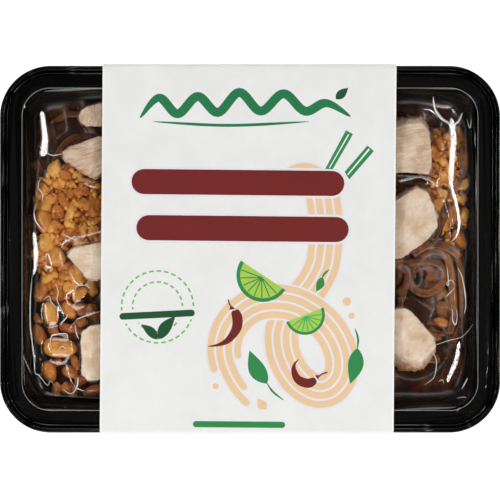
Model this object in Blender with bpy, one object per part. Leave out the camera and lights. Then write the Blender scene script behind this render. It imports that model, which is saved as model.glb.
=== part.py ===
"""Chilled ready meal of pad thai, shut as sold.

A black plastic tray holds rice noodles in dark sauce with chicken pieces,
whole peanuts and crushed peanut. A clear film lid is sealed to the tray's
flange and hangs down over the food, and a card sleeve goes round the middle.

Metres, +Z up, +X along the tray's long side. The origin is the middle of the
pack's footprint, on the surface it stands on.
"""

import math

import bmesh
import bpy
from mathutils import Matrix, Vector
from mathutils import noise
from mathutils.bvhtree import BVHTree
from mathutils.geometry import delaunay_2d_cdt

# Driving dimensions
TRAY_LENGTH = 0.187
TRAY_WIDTH = 0.1372
TRAY_HEIGHT = 0.036
TRAY_WALL = 0.0008
TRAY_CORNER = 0.019
SKIRT_WIDTH = 0.0028
SKIRT_DROP = 0.004
FLANGE_INNER_INSET = 0.0085
RIM_RADIUS = 0.0008
WALL_DRAFT = math.radians(12)
FLOOR_FILLET = 0.007
CAVITY_CORNER = 0.0105
FLOOR_CORNER = 0.014

CARD = 0.00035
GAP = 0.0003
FILM = 0.00025
FILM_EDGE_INSET = 0.0036

SLEEVE_LENGTH = 0.1096
SLEEVE_OFFSET = -0.0007
SLEEVE_SKEW = math.tan(math.radians(0.46))
SLEEVE_FOLD = 0.0016
SLEEVE_FOOT_HALF = 0.052
SLEEVE_FOOT_FOLD = 0.0025

BED_LEVEL = 0.0272
BED_EDGE_LEVEL = 0.0252
BED_SIDE_LEVELS = (0.017, 0.0105)
BED_RELIEF = 0.0011
BED_LUMPS_PER_METRE = 130
PIECE_CLEARANCE = 0.0004
FILM_CLEARANCE = 0.0004
CELL = 0.0088

# Heights that follow from them
TRAY_BASE = CARD + GAP
FLANGE_TOP = TRAY_BASE + TRAY_HEIGHT
FLOOR_TOP = TRAY_BASE + TRAY_WALL
RIM_BASE = FLANGE_TOP - RIM_RADIUS
FILM_UNDER = FLANGE_TOP + GAP
SLEEVE_TOP = FILM_UNDER + FILM + GAP + CARD
LIP_LEVEL = FLANGE_TOP - SKIRT_DROP
HALF_LENGTH = TRAY_LENGTH / 2
HALF_WIDTH = TRAY_WIDTH / 2

# Each piece of chicken: corners of its outline from above, level of its base
# and of its top, slope of its top along X and Y, and how far its foot stands
# out to one side.
CHICKEN = {
    "chicken_a": dict(
        outline=((-65.8, 48.6), (-62.6, 53.4), (-56.5, 55.2), (-46.0, 54.6), (-42.5, 49.2),
                 (-53.0, 45.6), (-62.8, 45.4)),
        base=21.5, top=33.6, slope=(0.06, -0.10), foot=(0.0, 0.5)),
    "chicken_b": dict(
        outline=((-72.2, 35.6), (-66.5, 39.0), (-56.0, 43.2), (-48.6, 43.0), (-47.0, 38.0),
                 (-56.6, 25.4), (-65.6, 29.6)),
        base=22.0, top=34.4, slope=(0.05, 0.04), foot=(-0.6, -0.6)),
    "chicken_c": dict(
        outline=((-70.4, -0.6), (-56.0, 3.4), (-45.5, 3.6), (-44.0, -7.0), (-60.4, -13.4)),
        base=20.5, top=34.8, slope=(0.04, 0.02), foot=(-0.5, 0.0)),
    "chicken_d": dict(
        outline=((-64.0, -28.4), (-46.0, -27.4), (-44.6, -44.0), (-57.6, -50.2), (-63.2, -49.2)),
        base=20.0, top=35.0, slope=(0.03, 0.03), foot=(0.0, 0.0)),
    "chicken_e": dict(
        outline=((46.0, 45.0), (66.6, 49.2), (68.2, 40.0), (69.0, 27.4), (58.0, 28.6), (45.0, 27.6)),
        base=20.0, top=34.8, slope=(-0.02, -0.06), foot=(0.0, 6.2)),
    "chicken_f": dict(
        outline=((65.2, 25.4), (72.6, 8.4), (56.0, -5.2), (46.8, -2.0), (47.4, 14.6)),
        base=20.5, top=34.6, slope=(0.02, -0.02), foot=(-1.4, 3.2)),
    "chicken_g": dict(
        outline=((47.0, -22.6), (59.0, -21.4), (71.8, -35.4), (64.2, -44.4), (47.4, -36.8)),
        base=19.5, top=34.8, slope=(-0.02, 0.03), foot=(-1.0, -8.4)),
}

# Each whole peanut: middle along X and Y, level of its middle, length, width
# and the direction of its length in degrees.
PEANUTS = (
    (-72.6, -2.8, 29.2, 8.2, 6.6, 100),
    (-78.4, -15.4, 27.2, 9.2, 5.8, 77),
    (-74.6, -24.0, 29.4, 9.8, 5.8, 103),
    (-63.2, -17.4, 29.6, 8.0, 6.2, 40),
    (-67.6, -22.9, 27.6, 8.2, 5.2, 125),
    (-79.0, -32.0, 26.6, 8.4, 5.2, 113),
    (-71.0, -36.9, 29.2, 13.6, 7.6, 175),
    (-75.2, -46.0, 27.2, 9.0, 6.0, 103),
    (-67.4, -46.4, 27.2, 6.8, 5.6, 160),
    (-58.8, -53.4, 26.8, 8.4, 5.0, 16),
    (-77.4, 10.6, 28.6, 9.6, 6.8, 100),
    (76.0, 13.4, 28.6, 8.4, 5.0, 75),
    (78.6, 3.6, 27.4, 8.4, 5.6, 110),
    (71.8, -27.4, 27.4, 6.6, 3.8, 165),
)

# Each heap of crushed peanut: outline from above, level of its base and of
# its top.
HEAPS = {
    "crushed_peanut_left": dict(
        outline=((-77.6, 27.0), (-70.0, 32.0), (-58.0, 25.0), (-50.0, 18.0), (-52.0, 4.0),
                 (-62.0, -20.0), (-74.0, -22.0), (-79.4, -8.0), (-80.0, 10.0)),
        base=20.0, top=29.4),
    "crushed_peanut_right": dict(
        outline=((68.4, 44.0), (76.6, 42.0), (80.4, 30.0), (80.8, 10.0), (79.0, -1.6),
                 (72.8, 0.0), (69.0, 14.0), (67.0, 30.0)),
        base=20.0, top=29.0),
}

# Hollows in the noodles where the sauce has run together: middle and reach.
SAUCE_HOLLOWS = ((-68.0, 44.0, 9.0), (63.0, -17.0, 9.0), (66.0, -50.0, 8.0), (-52.0, -20.0, 8.0))
HOLLOW_DEPTH = 0.0035

# Outline of the skirt and lip, going out over the flange's edge and back
# under it: inset from the lip and level above it.
SKIRT_PROFILE = (
    (SKIRT_WIDTH, SKIRT_DROP),
    (SKIRT_WIDTH - 0.0006, SKIRT_DROP - 0.0004),
    (0.0004, 0.0006),
    (0.0, 0.0),
    (0.0008, 0.0),
    (0.0013, 0.0005),
    (SKIRT_WIDTH + 0.0002, SKIRT_DROP - TRAY_WALL - 0.0003),
    (SKIRT_WIDTH + 0.0006, SKIRT_DROP - TRAY_WALL),
)
UNDER_FLANGE_BEND = 0.0006

# A lump's rings from base to top: share of its height and of its outline.
LUMP_RINGS = ((0.0, 0.78), (0.14, 0.96), (0.55, 1.0), (0.86, 0.97), (1.0, 0.82))
LUMP_END_BULGE = 0.0006
LUMP_WAVES_PER_METRE = 160
CHICKEN_WAVE = 0.0005
CHICKEN_RING_POINTS = 17
HEAP_WAVE = 0.0011
HEAP_RING_POINTS = 24
CORNER_CUT = 0.13
BLUNT_END = 0.12

MILLIMETRE = 0.001
RING_ARC_STEPS = 7
SHEET_ARC_STEPS = 5
FLOOR_ARC_STEPS = 4
FILM_SAMPLES = 12
FILM_SAMPLE_RINGS = (0.0, 0.35, 0.7, 1.0)


def clear_scene():
    for item in list(bpy.data.objects):
        bpy.data.objects.remove(item, do_unlink=True)


def plain_material(name, colour, roughness, metallic=0.0, alpha=1.0):
    material = bpy.data.materials.new(name)
    material.use_nodes = True
    shader = material.node_tree.nodes["Principled BSDF"]
    shader.inputs["Base Color"].default_value = (*colour, 1.0)
    shader.inputs["Roughness"].default_value = roughness
    shader.inputs["Metallic"].default_value = metallic
    shader.inputs["Alpha"].default_value = alpha
    return material


def face_outwards(bm):
    bmesh.ops.recalc_face_normals(bm, faces=bm.faces)
    if bm.calc_volume(signed=True) < 0:
        bmesh.ops.reverse_faces(bm, faces=bm.faces)
    bm.normal_update()


def add_piece(name, bm, material):
    """Turns a bmesh into a named object with outward faces."""
    face_outwards(bm)
    mesh = bpy.data.meshes.new(name)
    bm.to_mesh(mesh)
    bm.free()
    mesh.shade_smooth()
    mesh.materials.append(material)
    piece = bpy.data.objects.new(name, mesh)
    bpy.context.scene.collection.objects.link(piece)
    return piece


def rounded_rectangle(half_x, half_y, radius, arc_steps, side_cell=None):
    """Points round a rectangle with round corners, anticlockwise, from the +X side.

    With side_cell the straight sides are divided into steps of about that length.
    """
    corners = ((1, 1, 0.0), (-1, 1, 0.5), (-1, -1, 1.0), (1, -1, 1.5))
    points = []
    for sign_x, sign_y, turn in corners:
        centre = Vector((sign_x * (half_x - radius), sign_y * (half_y - radius)))
        for step in range(arc_steps + 1):
            angle = math.pi * (turn + 0.5 * step / arc_steps)
            points.append(centre + radius * Vector((math.cos(angle), math.sin(angle))))
    if side_cell is None:
        return points
    divided = []
    for index, point in enumerate(points):
        after = points[(index + 1) % len(points)]
        parts = max(1, round((after - point).length / side_cell))
        for part in range(parts):
            divided.append(point.lerp(after, part / parts))
    return divided


def loft(rings, cap_first=True, cap_last=True):
    """A bmesh of quads between rings of equal length, and its rows of vertices."""
    bm = bmesh.new()
    rows = [[bm.verts.new(point) for point in ring] for ring in rings]
    count = len(rows[0])
    for low, high in zip(rows, rows[1:]):
        for index in range(count):
            after = (index + 1) % count
            bm.faces.new((low[index], low[after], high[after], high[index]))
    if cap_first:
        bm.faces.new(reversed(rows[0]))
    if cap_last:
        bm.faces.new(rows[-1])
    return bm, rows


# Tray


def fillet_centre_inset():
    """Inset of the middle of the fillet between the tray's floor and wall."""
    turn = math.pi / 2 - WALL_DRAFT
    tangent_level = FLOOR_TOP + FLOOR_FILLET * (1 - math.cos(turn))
    rim_inset = FLANGE_INNER_INSET + RIM_RADIUS
    return rim_inset + (RIM_BASE - tangent_level) * math.tan(WALL_DRAFT) + FLOOR_FILLET * math.sin(turn)


def wall_corner(level):
    """Corner radius of the cavity, which opens out towards the floor."""
    depth = (FLANGE_TOP - level) / TRAY_HEIGHT
    return CAVITY_CORNER + (FLOOR_CORNER - CAVITY_CORNER) * max(0.0, min(1.0, depth))


def wall_inset(level, offset=0.0):
    """Inset of the wall at a level, moved outwards by offset from the inner face."""
    rim_inset = FLANGE_INNER_INSET + RIM_RADIUS
    return rim_inset + (RIM_BASE - level) * math.tan(WALL_DRAFT) - offset / math.cos(WALL_DRAFT)


def floor_profile(offset, steps):
    """(inset, level) up the fillet from floor to wall, moved outwards by offset."""
    radius = FLOOR_FILLET + offset
    turn = math.pi / 2 - WALL_DRAFT
    middle = fillet_centre_inset()
    profile = []
    for step in range(steps + 1):
        angle = turn * step / steps
        level = FLOOR_TOP + FLOOR_FILLET - radius * math.cos(angle)
        profile.append((middle - radius * math.sin(angle), level))
    return profile


def tray_ring(inset, level, corner, arc_steps=RING_ARC_STEPS, side_cell=None):
    ring = rounded_rectangle(HALF_LENGTH - inset, HALF_WIDTH - inset, corner, arc_steps, side_cell)
    return [point.to_3d() + Vector((0, 0, level)) for point in ring]


def build_tray():
    """The tray as one shell: inside face, rim, flange, skirt, outside face."""
    inside = [
        (inset, level, wall_corner(level)) for inset, level in floor_profile(0.0, FLOOR_ARC_STEPS)
    ]
    rim_mid = RIM_RADIUS * (1 - math.cos(math.pi / 4))
    rim = [
        (wall_inset(RIM_BASE), RIM_BASE, wall_corner(RIM_BASE)),
        (FLANGE_INNER_INSET + rim_mid, FLANGE_TOP - rim_mid, CAVITY_CORNER),
        (FLANGE_INNER_INSET, FLANGE_TOP, CAVITY_CORNER),
    ]
    skirt = [(inset, LIP_LEVEL + rise, TRAY_CORNER - inset) for inset, rise in SKIRT_PROFILE]
    under = FLANGE_TOP - TRAY_WALL
    bend = under - UNDER_FLANGE_BEND
    flange_underside = [
        (wall_inset(under, TRAY_WALL) - UNDER_FLANGE_BEND, under, CAVITY_CORNER),
        (wall_inset(bend, TRAY_WALL), bend, CAVITY_CORNER),
    ]
    outside = [
        (inset, level, wall_corner(level) + TRAY_WALL)
        for inset, level in reversed(floor_profile(TRAY_WALL, FLOOR_ARC_STEPS))
    ]
    profile = inside + rim + skirt + flange_underside + outside
    bm, _ = loft([tray_ring(*place) for place in profile])
    add_piece("tray", bm, plain_material("black_plastic", (0.006, 0.006, 0.005), 0.42))


# Sleeve


def filleted_loop(corners, steps=4):
    """A closed outline whose corners, given as (y, z, radius), are rounded."""
    loop = []
    for index, (y, z, radius) in enumerate(corners):
        corner = Vector((y, z))
        back = (Vector(corners[index - 1][:2]) - corner).normalized()
        ahead = (Vector(corners[(index + 1) % len(corners)][:2]) - corner).normalized()
        half = back.angle(ahead) / 2
        reach = radius / math.tan(half)
        centre = corner + (back + ahead).normalized() * (radius / math.sin(half))
        start = corner + back * reach - centre
        finish = corner + ahead * reach - centre
        for step in range(steps + 1):
            point = start.lerp(finish, step / steps).normalized() * radius
            loop.append(centre + point)
    return loop


def inset_loop(loop, distance):
    """The outline moved inwards; it runs anticlockwise."""
    moved = []
    for index, point in enumerate(loop):
        before = (point - loop[index - 1]).normalized()
        after = (loop[(index + 1) % len(loop)] - point).normalized()
        normal = Vector((-before.y - after.y, before.x + after.x)).normalized()
        spread = normal.dot(Vector((-before.y, before.x)))
        moved.append(point + normal * distance / spread)
    return moved


def build_sleeve():
    """A closed card band; its end edges run slightly askew to the tray."""
    side = HALF_WIDTH + GAP + CARD
    lip_bend = LIP_LEVEL - GAP
    corners = (
        (side, SLEEVE_TOP, SLEEVE_FOLD),
        (-side, SLEEVE_TOP, SLEEVE_FOLD),
        (-side, lip_bend, SLEEVE_FOLD),
        (-SLEEVE_FOOT_HALF, 0.0, SLEEVE_FOOT_FOLD),
        (SLEEVE_FOOT_HALF, 0.0, SLEEVE_FOOT_FOLD),
        (side, lip_bend, SLEEVE_FOLD),
    )
    outer = filleted_loop(corners)
    inner = inset_loop(outer, CARD)

    def ring(loop, end):
        x = SLEEVE_OFFSET + end * SLEEVE_LENGTH / 2
        return [Vector((x + point.x * SLEEVE_SKEW, point.x, point.y)) for point in loop]

    rings = [ring(outer, -1), ring(outer, 1), ring(inner, 1), ring(inner, -1)]
    bm, _ = loft(rings + rings[:1], cap_first=False, cap_last=False)
    bmesh.ops.remove_doubles(bm, verts=bm.verts, dist=1e-6)
    add_piece("sleeve", bm, plain_material("white_card", (0.82, 0.81, 0.79), 0.55))


# Food


def even_ring(ring, count):
    """The ring walked round again in count steps of equal length."""
    lengths = [(ring[(i + 1) % len(ring)] - point).length for i, point in enumerate(ring)]
    total = sum(lengths)
    even = []
    index = 0
    passed = 0.0
    for step in range(count):
        target = total * step / count
        while passed + lengths[index] < target:
            passed += lengths[index]
            index += 1
        share = (target - passed) / lengths[index]
        even.append(ring[index].lerp(ring[(index + 1) % len(ring)], share))
    return even


def smooth_outline(corners, count):
    """A closed outline of count even points with its corners cut back twice."""
    points = [Vector(corner) * MILLIMETRE for corner in corners]
    for _ in range(2):
        cut = []
        for index, point in enumerate(points):
            after = points[(index + 1) % len(points)]
            cut.append(point.lerp(after, CORNER_CUT))
            cut.append(point.lerp(after, 1 - CORNER_CUT))
        points = cut
    return even_ring(points, count)


def turns_left(outline):
    area = sum(point.cross(outline[(i + 1) % len(outline)]) for i, point in enumerate(outline))
    return area > 0


def lump(outline, base, top, slope, foot, grow, wave, count):
    """A lump with a softened outline, rounded top and bottom edges and sloping sides.

    grow moves the whole surface outwards, for the pocket that the lump sits in.
    """
    points = smooth_outline(outline, count)
    if not turns_left(points):
        points.reverse()
    middle = sum(points, Vector((0, 0))) / count
    reach = Vector(foot) * MILLIMETRE
    rings = []
    for level, size in LUMP_RINGS:
        ring = []
        for point in points:
            side = (point - middle) * size
            facing = max(0.0, side.normalized().dot(reach.normalized())) if reach.length else 0.0
            place = middle + side + reach * (facing * (1 - level))
            rise = (top - base) * MILLIMETRE * level + side.dot(Vector(slope)) * level
            ring.append(Vector((place.x, place.y, base * MILLIMETRE + rise)))
        rings.append(ring)
    bm, rows = loft(rings, cap_first=False, cap_last=False)
    for row, bulge in ((rows[0], -LUMP_END_BULGE), (rows[-1], LUMP_END_BULGE)):
        hub_place = sum((vert.co for vert in row), Vector()) / count
        hub = bm.verts.new(hub_place + Vector((0, 0, bulge)))
        for index in range(count):
            bm.faces.new((row[index], row[(index + 1) % count], hub))
    face_outwards(bm)
    for vert in bm.verts:
        vert.co = vert.co + vert.normal * noise.noise(vert.co * LUMP_WAVES_PER_METRE) * wave
    bm.normal_update()
    for vert in bm.verts:
        vert.co = vert.co + vert.normal * grow
    return bm


def chicken(shape, grow=0.0):
    return lump(**shape, grow=grow, wave=CHICKEN_WAVE, count=CHICKEN_RING_POINTS)


def heap(shape, grow=0.0):
    return lump(**shape, slope=(0.0, 0.0), foot=(0.0, 0.0), grow=grow, wave=HEAP_WAVE,
                count=HEAP_RING_POINTS)


def kernel(x, y, level, length, width, direction, grow=0.0):
    """A peanut: a plump ellipsoid, blunter at one end."""
    bm = bmesh.new()
    bmesh.ops.create_icosphere(bm, subdivisions=2, radius=1.0)
    turn = Matrix.Rotation(math.radians(direction), 3, "Z")
    middle = Vector((x, y, level)) * MILLIMETRE
    for vert in bm.verts:
        thick = width / 2 * MILLIMETRE * (1.0 + BLUNT_END * vert.co.x) + grow
        size = Vector((length / 2 * MILLIMETRE + grow, thick, thick))
        vert.co = middle + turn @ (vert.co * size)
    return bm


def cut_pockets(piece, cutters):
    """Cuts piece round all its neighbours at once."""
    group = bpy.data.collections.new(piece.name + "_cutters")
    for cutter in cutters:
        group.objects.link(cutter)
    cut = piece.modifiers.new("pockets", "BOOLEAN")
    cut.operation = "DIFFERENCE"
    cut.solver = "EXACT"
    cut.operand_type = "COLLECTION"
    cut.collection = group


def pocket_cutter(name, bm, material):
    cutter = add_piece(name + "_pocket", bm, material)
    cutter.hide_render = True
    cutter.display_type = "WIRE"
    return cutter


def bed_level(x, y):
    """Level of the top of the noodles, lower where the sauce shows."""
    level = BED_LEVEL
    edge = max(abs(x) / HALF_LENGTH, abs(y) / HALF_WIDTH)
    level -= (BED_LEVEL - BED_EDGE_LEVEL) * edge ** 4
    level += BED_RELIEF * noise.noise(Vector((x, y, 0)) * BED_LUMPS_PER_METRE)
    for middle_x, middle_y, reach in SAUCE_HOLLOWS:
        away = math.hypot(x / MILLIMETRE - middle_x, y / MILLIMETRE - middle_y) / reach
        level -= HOLLOW_DEPTH * math.exp(-away * away)
    return level


def grid_inside(half_x, half_y, corner, cell):
    """Staggered points at least most of a cell inside a rounded rectangle."""
    margin = 0.62 * cell
    row_height = cell * math.sqrt(3) / 2
    rows = int((half_y - margin) / row_height)
    points = []
    for row in range(-rows, rows + 1):
        y = row * row_height
        shift = 0.5 * cell if row % 2 else 0.0
        columns = int(half_x / cell) + 1
        for column in range(-columns, columns + 1):
            x = column * cell + shift
            over = Vector((max(0.0, abs(x) - half_x + corner), max(0.0, abs(y) - half_y + corner)))
            if over.length < corner - margin:
                points.append(Vector((x, y)))
    return points


def triangulate(ring, inner):
    """Triangles over a closed ring and the points inside it, ring points first."""
    count = len(ring)
    edges = [(index, (index + 1) % count) for index in range(count)]
    points = [point.to_2d() for point in ring] + inner
    placed, _, faces, *_ = delaunay_2d_cdt(points, edges, [], 1, 1e-6)
    return placed, faces


def build_noodle_bed(material):
    """The noodles and sauce: an uneven top over the shape of the tray's inside."""
    clear = -PIECE_CLEARANCE
    edge_inset = wall_inset(BED_EDGE_LEVEL, clear)
    brim = []
    for point in tray_ring(edge_inset, 0.0, wall_corner(BED_EDGE_LEVEL), SHEET_ARC_STEPS, CELL):
        level = bed_level(point.x, point.y)
        inward = max(0.0, wall_inset(level, clear) - edge_inset)
        facing = Vector((point.x / HALF_LENGTH, point.y / HALF_WIDTH, 0)).normalized()
        brim.append(point - facing * inward + Vector((0, 0, level)))
    side = [(wall_inset(level, clear), level) for level in BED_SIDE_LEVELS]
    side += reversed(floor_profile(clear, FLOOR_ARC_STEPS // 2))
    rings = [brim]
    for inset, level in side:
        ring = tray_ring(inset, level, wall_corner(level), SHEET_ARC_STEPS, CELL)
        rings.append(even_ring(ring, len(brim)))
    bm, rows = loft(rings, cap_first=False, cap_last=True)
    inner = grid_inside(
        HALF_LENGTH - edge_inset, HALF_WIDTH - edge_inset, wall_corner(BED_EDGE_LEVEL), CELL)
    placed, faces = triangulate(brim, inner)
    verts = list(rows[0])
    for point in placed[len(brim):]:
        verts.append(bm.verts.new((point.x, point.y, bed_level(point.x, point.y))))
    for face in faces:
        bm.faces.new([verts[index] for index in face])
    return add_piece("noodle_bed", bm, material)


def build_food():
    """Noodles, chicken, whole peanuts and crushed peanut, each cut round the next."""
    cooked_chicken = plain_material("cooked_chicken", (0.56, 0.42, 0.30), 0.5)
    roast_peanut = plain_material("roast_peanut", (0.45, 0.22, 0.06), 0.4)
    sauced_noodle = plain_material("sauced_noodle", (0.11, 0.045, 0.018), 0.3)
    crushed_peanut = plain_material("crushed_peanut", (0.40, 0.19, 0.05), 0.5)
    toppings = []
    pockets = []
    for name, shape in CHICKEN.items():
        toppings.append(add_piece(name, chicken(shape), cooked_chicken))
        pockets.append(pocket_cutter(name, chicken(shape, PIECE_CLEARANCE), cooked_chicken))
    for number, shape in enumerate(PEANUTS, start=1):
        name = f"peanut_{number:02d}"
        toppings.append(add_piece(name, kernel(*shape), roast_peanut))
        pockets.append(pocket_cutter(name, kernel(*shape, grow=PIECE_CLEARANCE), roast_peanut))
    heap_pockets = []
    for name, shape in HEAPS.items():
        mound = add_piece(name, heap(shape), crushed_peanut)
        cut_pockets(mound, pockets)
        toppings.append(mound)
        heap_pockets.append(pocket_cutter(name, heap(shape, PIECE_CLEARANCE), crushed_peanut))
    cut_pockets(build_noodle_bed(sauced_noodle), heap_pockets + pockets)
    return toppings


# Film lid


def search_trees(pieces):
    """One search tree for each piece of food, to find how high it stands."""
    trees = []
    for piece in pieces:
        bm = bmesh.new()
        bm.from_mesh(piece.data)
        trees.append(BVHTree.FromBMesh(bm))
        bm.free()
    return trees


def cover_level(trees, x, y, reach):
    """Highest food within reach of a place, plus the clearance."""
    level = bed_level(x, y) + BED_RELIEF
    down = Vector((0, 0, -1))
    for share in FILM_SAMPLE_RINGS:
        for sample in range(FILM_SAMPLES):
            angle = 2 * math.pi * sample / FILM_SAMPLES
            away = reach * share * Vector((math.cos(angle), math.sin(angle)))
            start = Vector((x + away.x, y + away.y, TRAY_LENGTH))
            hits = [tree.ray_cast(start, down)[0] for tree in trees]
            level = max([level] + [hit.z for hit in hits if hit is not None])
    return min(level + FILM_CLEARANCE, FILM_UNDER)


def build_film(toppings):
    """A thin sheet, flat on the flange and hanging down onto the food."""
    trees = search_trees(toppings)
    edge = tray_ring(FILM_EDGE_INSET, FILM_UNDER, TRAY_CORNER - FILM_EDGE_INSET, SHEET_ARC_STEPS, CELL)
    count = len(edge)
    rim_inset = FLANGE_INNER_INSET + RIM_RADIUS / 2
    rim = even_ring(tray_ring(rim_inset, FILM_UNDER, CAVITY_CORNER, SHEET_ARC_STEPS, CELL), count)
    inner = grid_inside(HALF_LENGTH - rim_inset, HALF_WIDTH - rim_inset, CAVITY_CORNER, CELL)
    placed, faces = triangulate(rim, inner)
    hanging = [
        Vector((point.x, point.y, cover_level(trees, point.x, point.y, CELL)))
        for point in placed[count:]
    ]
    bm = bmesh.new()
    borders = []
    for lift in (Vector((0, 0, 0)), Vector((0, 0, FILM))):
        border = [bm.verts.new(point + lift) for point in edge]
        sheet = [bm.verts.new(point + lift) for point in rim + hanging]
        for face in faces:
            bm.faces.new([sheet[index] for index in face])
        for index in range(count):
            after = (index + 1) % count
            bm.faces.new((border[index], border[after], sheet[after], sheet[index]))
        borders.append(border)
    low, high = borders
    for index in range(count):
        after = (index + 1) % count
        bm.faces.new((low[index], low[after], high[after], high[index]))
    add_piece("film_lid", bm, plain_material("clear_film", (0.9, 0.9, 0.9), 0.08, alpha=0.25))


clear_scene()
build_tray()
build_sleeve()
build_film(build_food())
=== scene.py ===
# Chilled pad thai: black tray, clear film, card sleeve and the food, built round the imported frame.
import math
import time

import bmesh
import bpy
import numpy as np
from mathutils.bvhtree import BVHTree
from mathutils import Matrix, Vector, noise
from mathutils.geometry import delaunay_2d_cdt


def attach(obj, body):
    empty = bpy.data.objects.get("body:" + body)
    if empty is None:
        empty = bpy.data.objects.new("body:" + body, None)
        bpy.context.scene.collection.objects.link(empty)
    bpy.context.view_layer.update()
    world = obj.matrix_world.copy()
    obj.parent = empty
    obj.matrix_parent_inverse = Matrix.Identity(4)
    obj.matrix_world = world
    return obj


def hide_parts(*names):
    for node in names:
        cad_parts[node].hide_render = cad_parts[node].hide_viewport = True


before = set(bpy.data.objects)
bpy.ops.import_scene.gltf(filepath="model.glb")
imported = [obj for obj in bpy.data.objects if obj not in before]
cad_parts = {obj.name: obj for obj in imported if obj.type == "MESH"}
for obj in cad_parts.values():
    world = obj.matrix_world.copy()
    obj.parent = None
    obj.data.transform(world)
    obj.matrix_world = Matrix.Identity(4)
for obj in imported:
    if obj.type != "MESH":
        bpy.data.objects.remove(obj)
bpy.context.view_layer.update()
startTime = time.time()
mm = 0.001  # shapes are worked out in millimetres and put into meshes in metres


def tell(stage):
    print(f"{stage}: {time.time() - startTime:.1f} s")


def shade(red, green, blue):  # a colour as it looks, 0 to 255, as the light values a shader takes
    values = []
    for part in (red, green, blue):
        share = part / 255
        values.append(share / 12.92 if share <= 0.04045 else ((share + 0.055) / 1.055) ** 2.4)
    return (*values, 1.0)


# Meshes

def makeObject(name, points, faces, materials, faceSlots=None, smooth=True):
    mesh = bpy.data.meshes.new(name)
    mesh.from_pydata((np.asarray(points) * mm).tolist(), [], [list(face) for face in faces])
    mesh.validate()
    for material in materials:
        mesh.materials.append(material)
    if faceSlots is not None:
        mesh.polygons.foreach_set("material_index", np.asarray(faceSlots, np.int32))
    mesh.update()
    if smooth:
        mesh.shade_smooth()
    piece = bpy.data.objects.new(name, mesh)
    bpy.context.scene.collection.objects.link(piece)
    return piece


def fit(piece, slotName, *nodeNames):  # attaches a piece to the pack's root and hides the CAD nodes it stands for
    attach(piece, "root")
    if nodeNames:
        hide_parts(*nodeNames)
    return piece


def addAttribute(piece, name, values):
    values = np.asarray(values, np.float32)
    kind = "FLOAT" if values.ndim == 1 else "FLOAT_VECTOR"
    attribute = piece.data.attributes.new(name, kind, "POINT")
    attribute.data.foreach_set("value" if kind == "FLOAT" else "vector", values.ravel())


def meshPoints(mesh):
    points = np.empty(len(mesh.vertices) * 3, np.float32)
    mesh.vertices.foreach_get("co", points)
    return points.reshape(-1, 3).astype(float) / mm


def meshNormals(mesh):
    normals = np.empty(len(mesh.vertices) * 3, np.float32)
    mesh.vertices.foreach_get("normal", normals)
    return normals.reshape(-1, 3).astype(float)


def nodePoints(nodeName):
    return meshPoints(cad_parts[nodeName].data)


def bumpy(points, scale, seed=0.0):  # smooth noise from -1 to 1 at each point
    shift = Vector((seed * 7.13, seed * 3.71, seed * 5.37))
    return np.array([noise.noise(Vector(point) * scale + shift) for point in points.tolist()])


def joinParts(parts):  # several (points, faces) as one, with the number of the part for each point
    allPoints, allFaces, owner, start = [], [], [], 0
    for number, (points, faces) in enumerate(parts):
        allPoints.append(points)
        allFaces.extend([[index + start for index in face] for face in faces])
        owner.append(np.full(len(points), number))
        start += len(points)
    return np.concatenate(allPoints), allFaces, np.concatenate(owner)


def roundedRing(halfX, halfY, radius, arcSteps, sideStep):
    points = []
    for signX, signY, turn in ((1, 1, 0.0), (-1, 1, 0.5), (-1, -1, 1.0), (1, -1, 1.5)):
        for step in range(arcSteps + 1):
            angle = math.pi * (turn + 0.5 * step / arcSteps)
            points.append((signX * (halfX - radius) + radius * math.cos(angle),
                           signY * (halfY - radius) + radius * math.sin(angle)))
    divided = []
    for index, point in enumerate(points):
        after = points[(index + 1) % len(points)]
        count = max(1, round(math.dist(point, after) / sideStep))
        for part in range(count):
            share = part / count
            divided.append((point[0] + (after[0] - point[0]) * share,
                            point[1] + (after[1] - point[1]) * share))
    return divided


def loftRings(rings, closeFirst=True, closeLast=True):
    count = len(rings[0])
    points = [point for ring in rings for point in ring]
    faces = []
    for level in range(len(rings) - 1):
        low, high = level * count, (level + 1) * count
        for index in range(count):
            after = (index + 1) % count
            faces.append((low + index, low + after, high + after, high + index))
    if closeFirst:
        faces.append(tuple(reversed(range(count))))
    if closeLast:
        faces.append(tuple(range((len(rings) - 1) * count, len(rings) * count)))
    return points, faces


def outward(piece):  # faces turned to the outside of a closed mesh
    bm = bmesh.new()
    bm.from_mesh(piece.data)
    bmesh.ops.recalc_face_normals(bm, faces=bm.faces)
    if bm.calc_volume(signed=True) < 0:
        bmesh.ops.reverse_faces(bm, faces=bm.faces)
    bm.to_mesh(piece.data)
    bm.free()
    return piece


# Materials

def newGroup(name, inputs, outputs):
    group = bpy.data.node_groups.new(name, "ShaderNodeTree")
    for label, kind, value in inputs:
        socket = group.interface.new_socket(label, in_out="INPUT", socket_type=kind)
        socket.default_value = value
    for label, kind in outputs:
        group.interface.new_socket(label, in_out="OUTPUT", socket_type=kind)
    return group, group.nodes.new("NodeGroupInput"), group.nodes.new("NodeGroupOutput")


def addNode(tree, kind, values=None, **settings):
    node = tree.nodes.new(kind)
    for key, value in settings.items():
        setattr(node, key, value)
    for key, value in (values or {}).items():
        if isinstance(value, bpy.types.NodeSocket):
            tree.links.new(value, node.inputs[key])
        else:
            node.inputs[key].default_value = value
    return node


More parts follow.
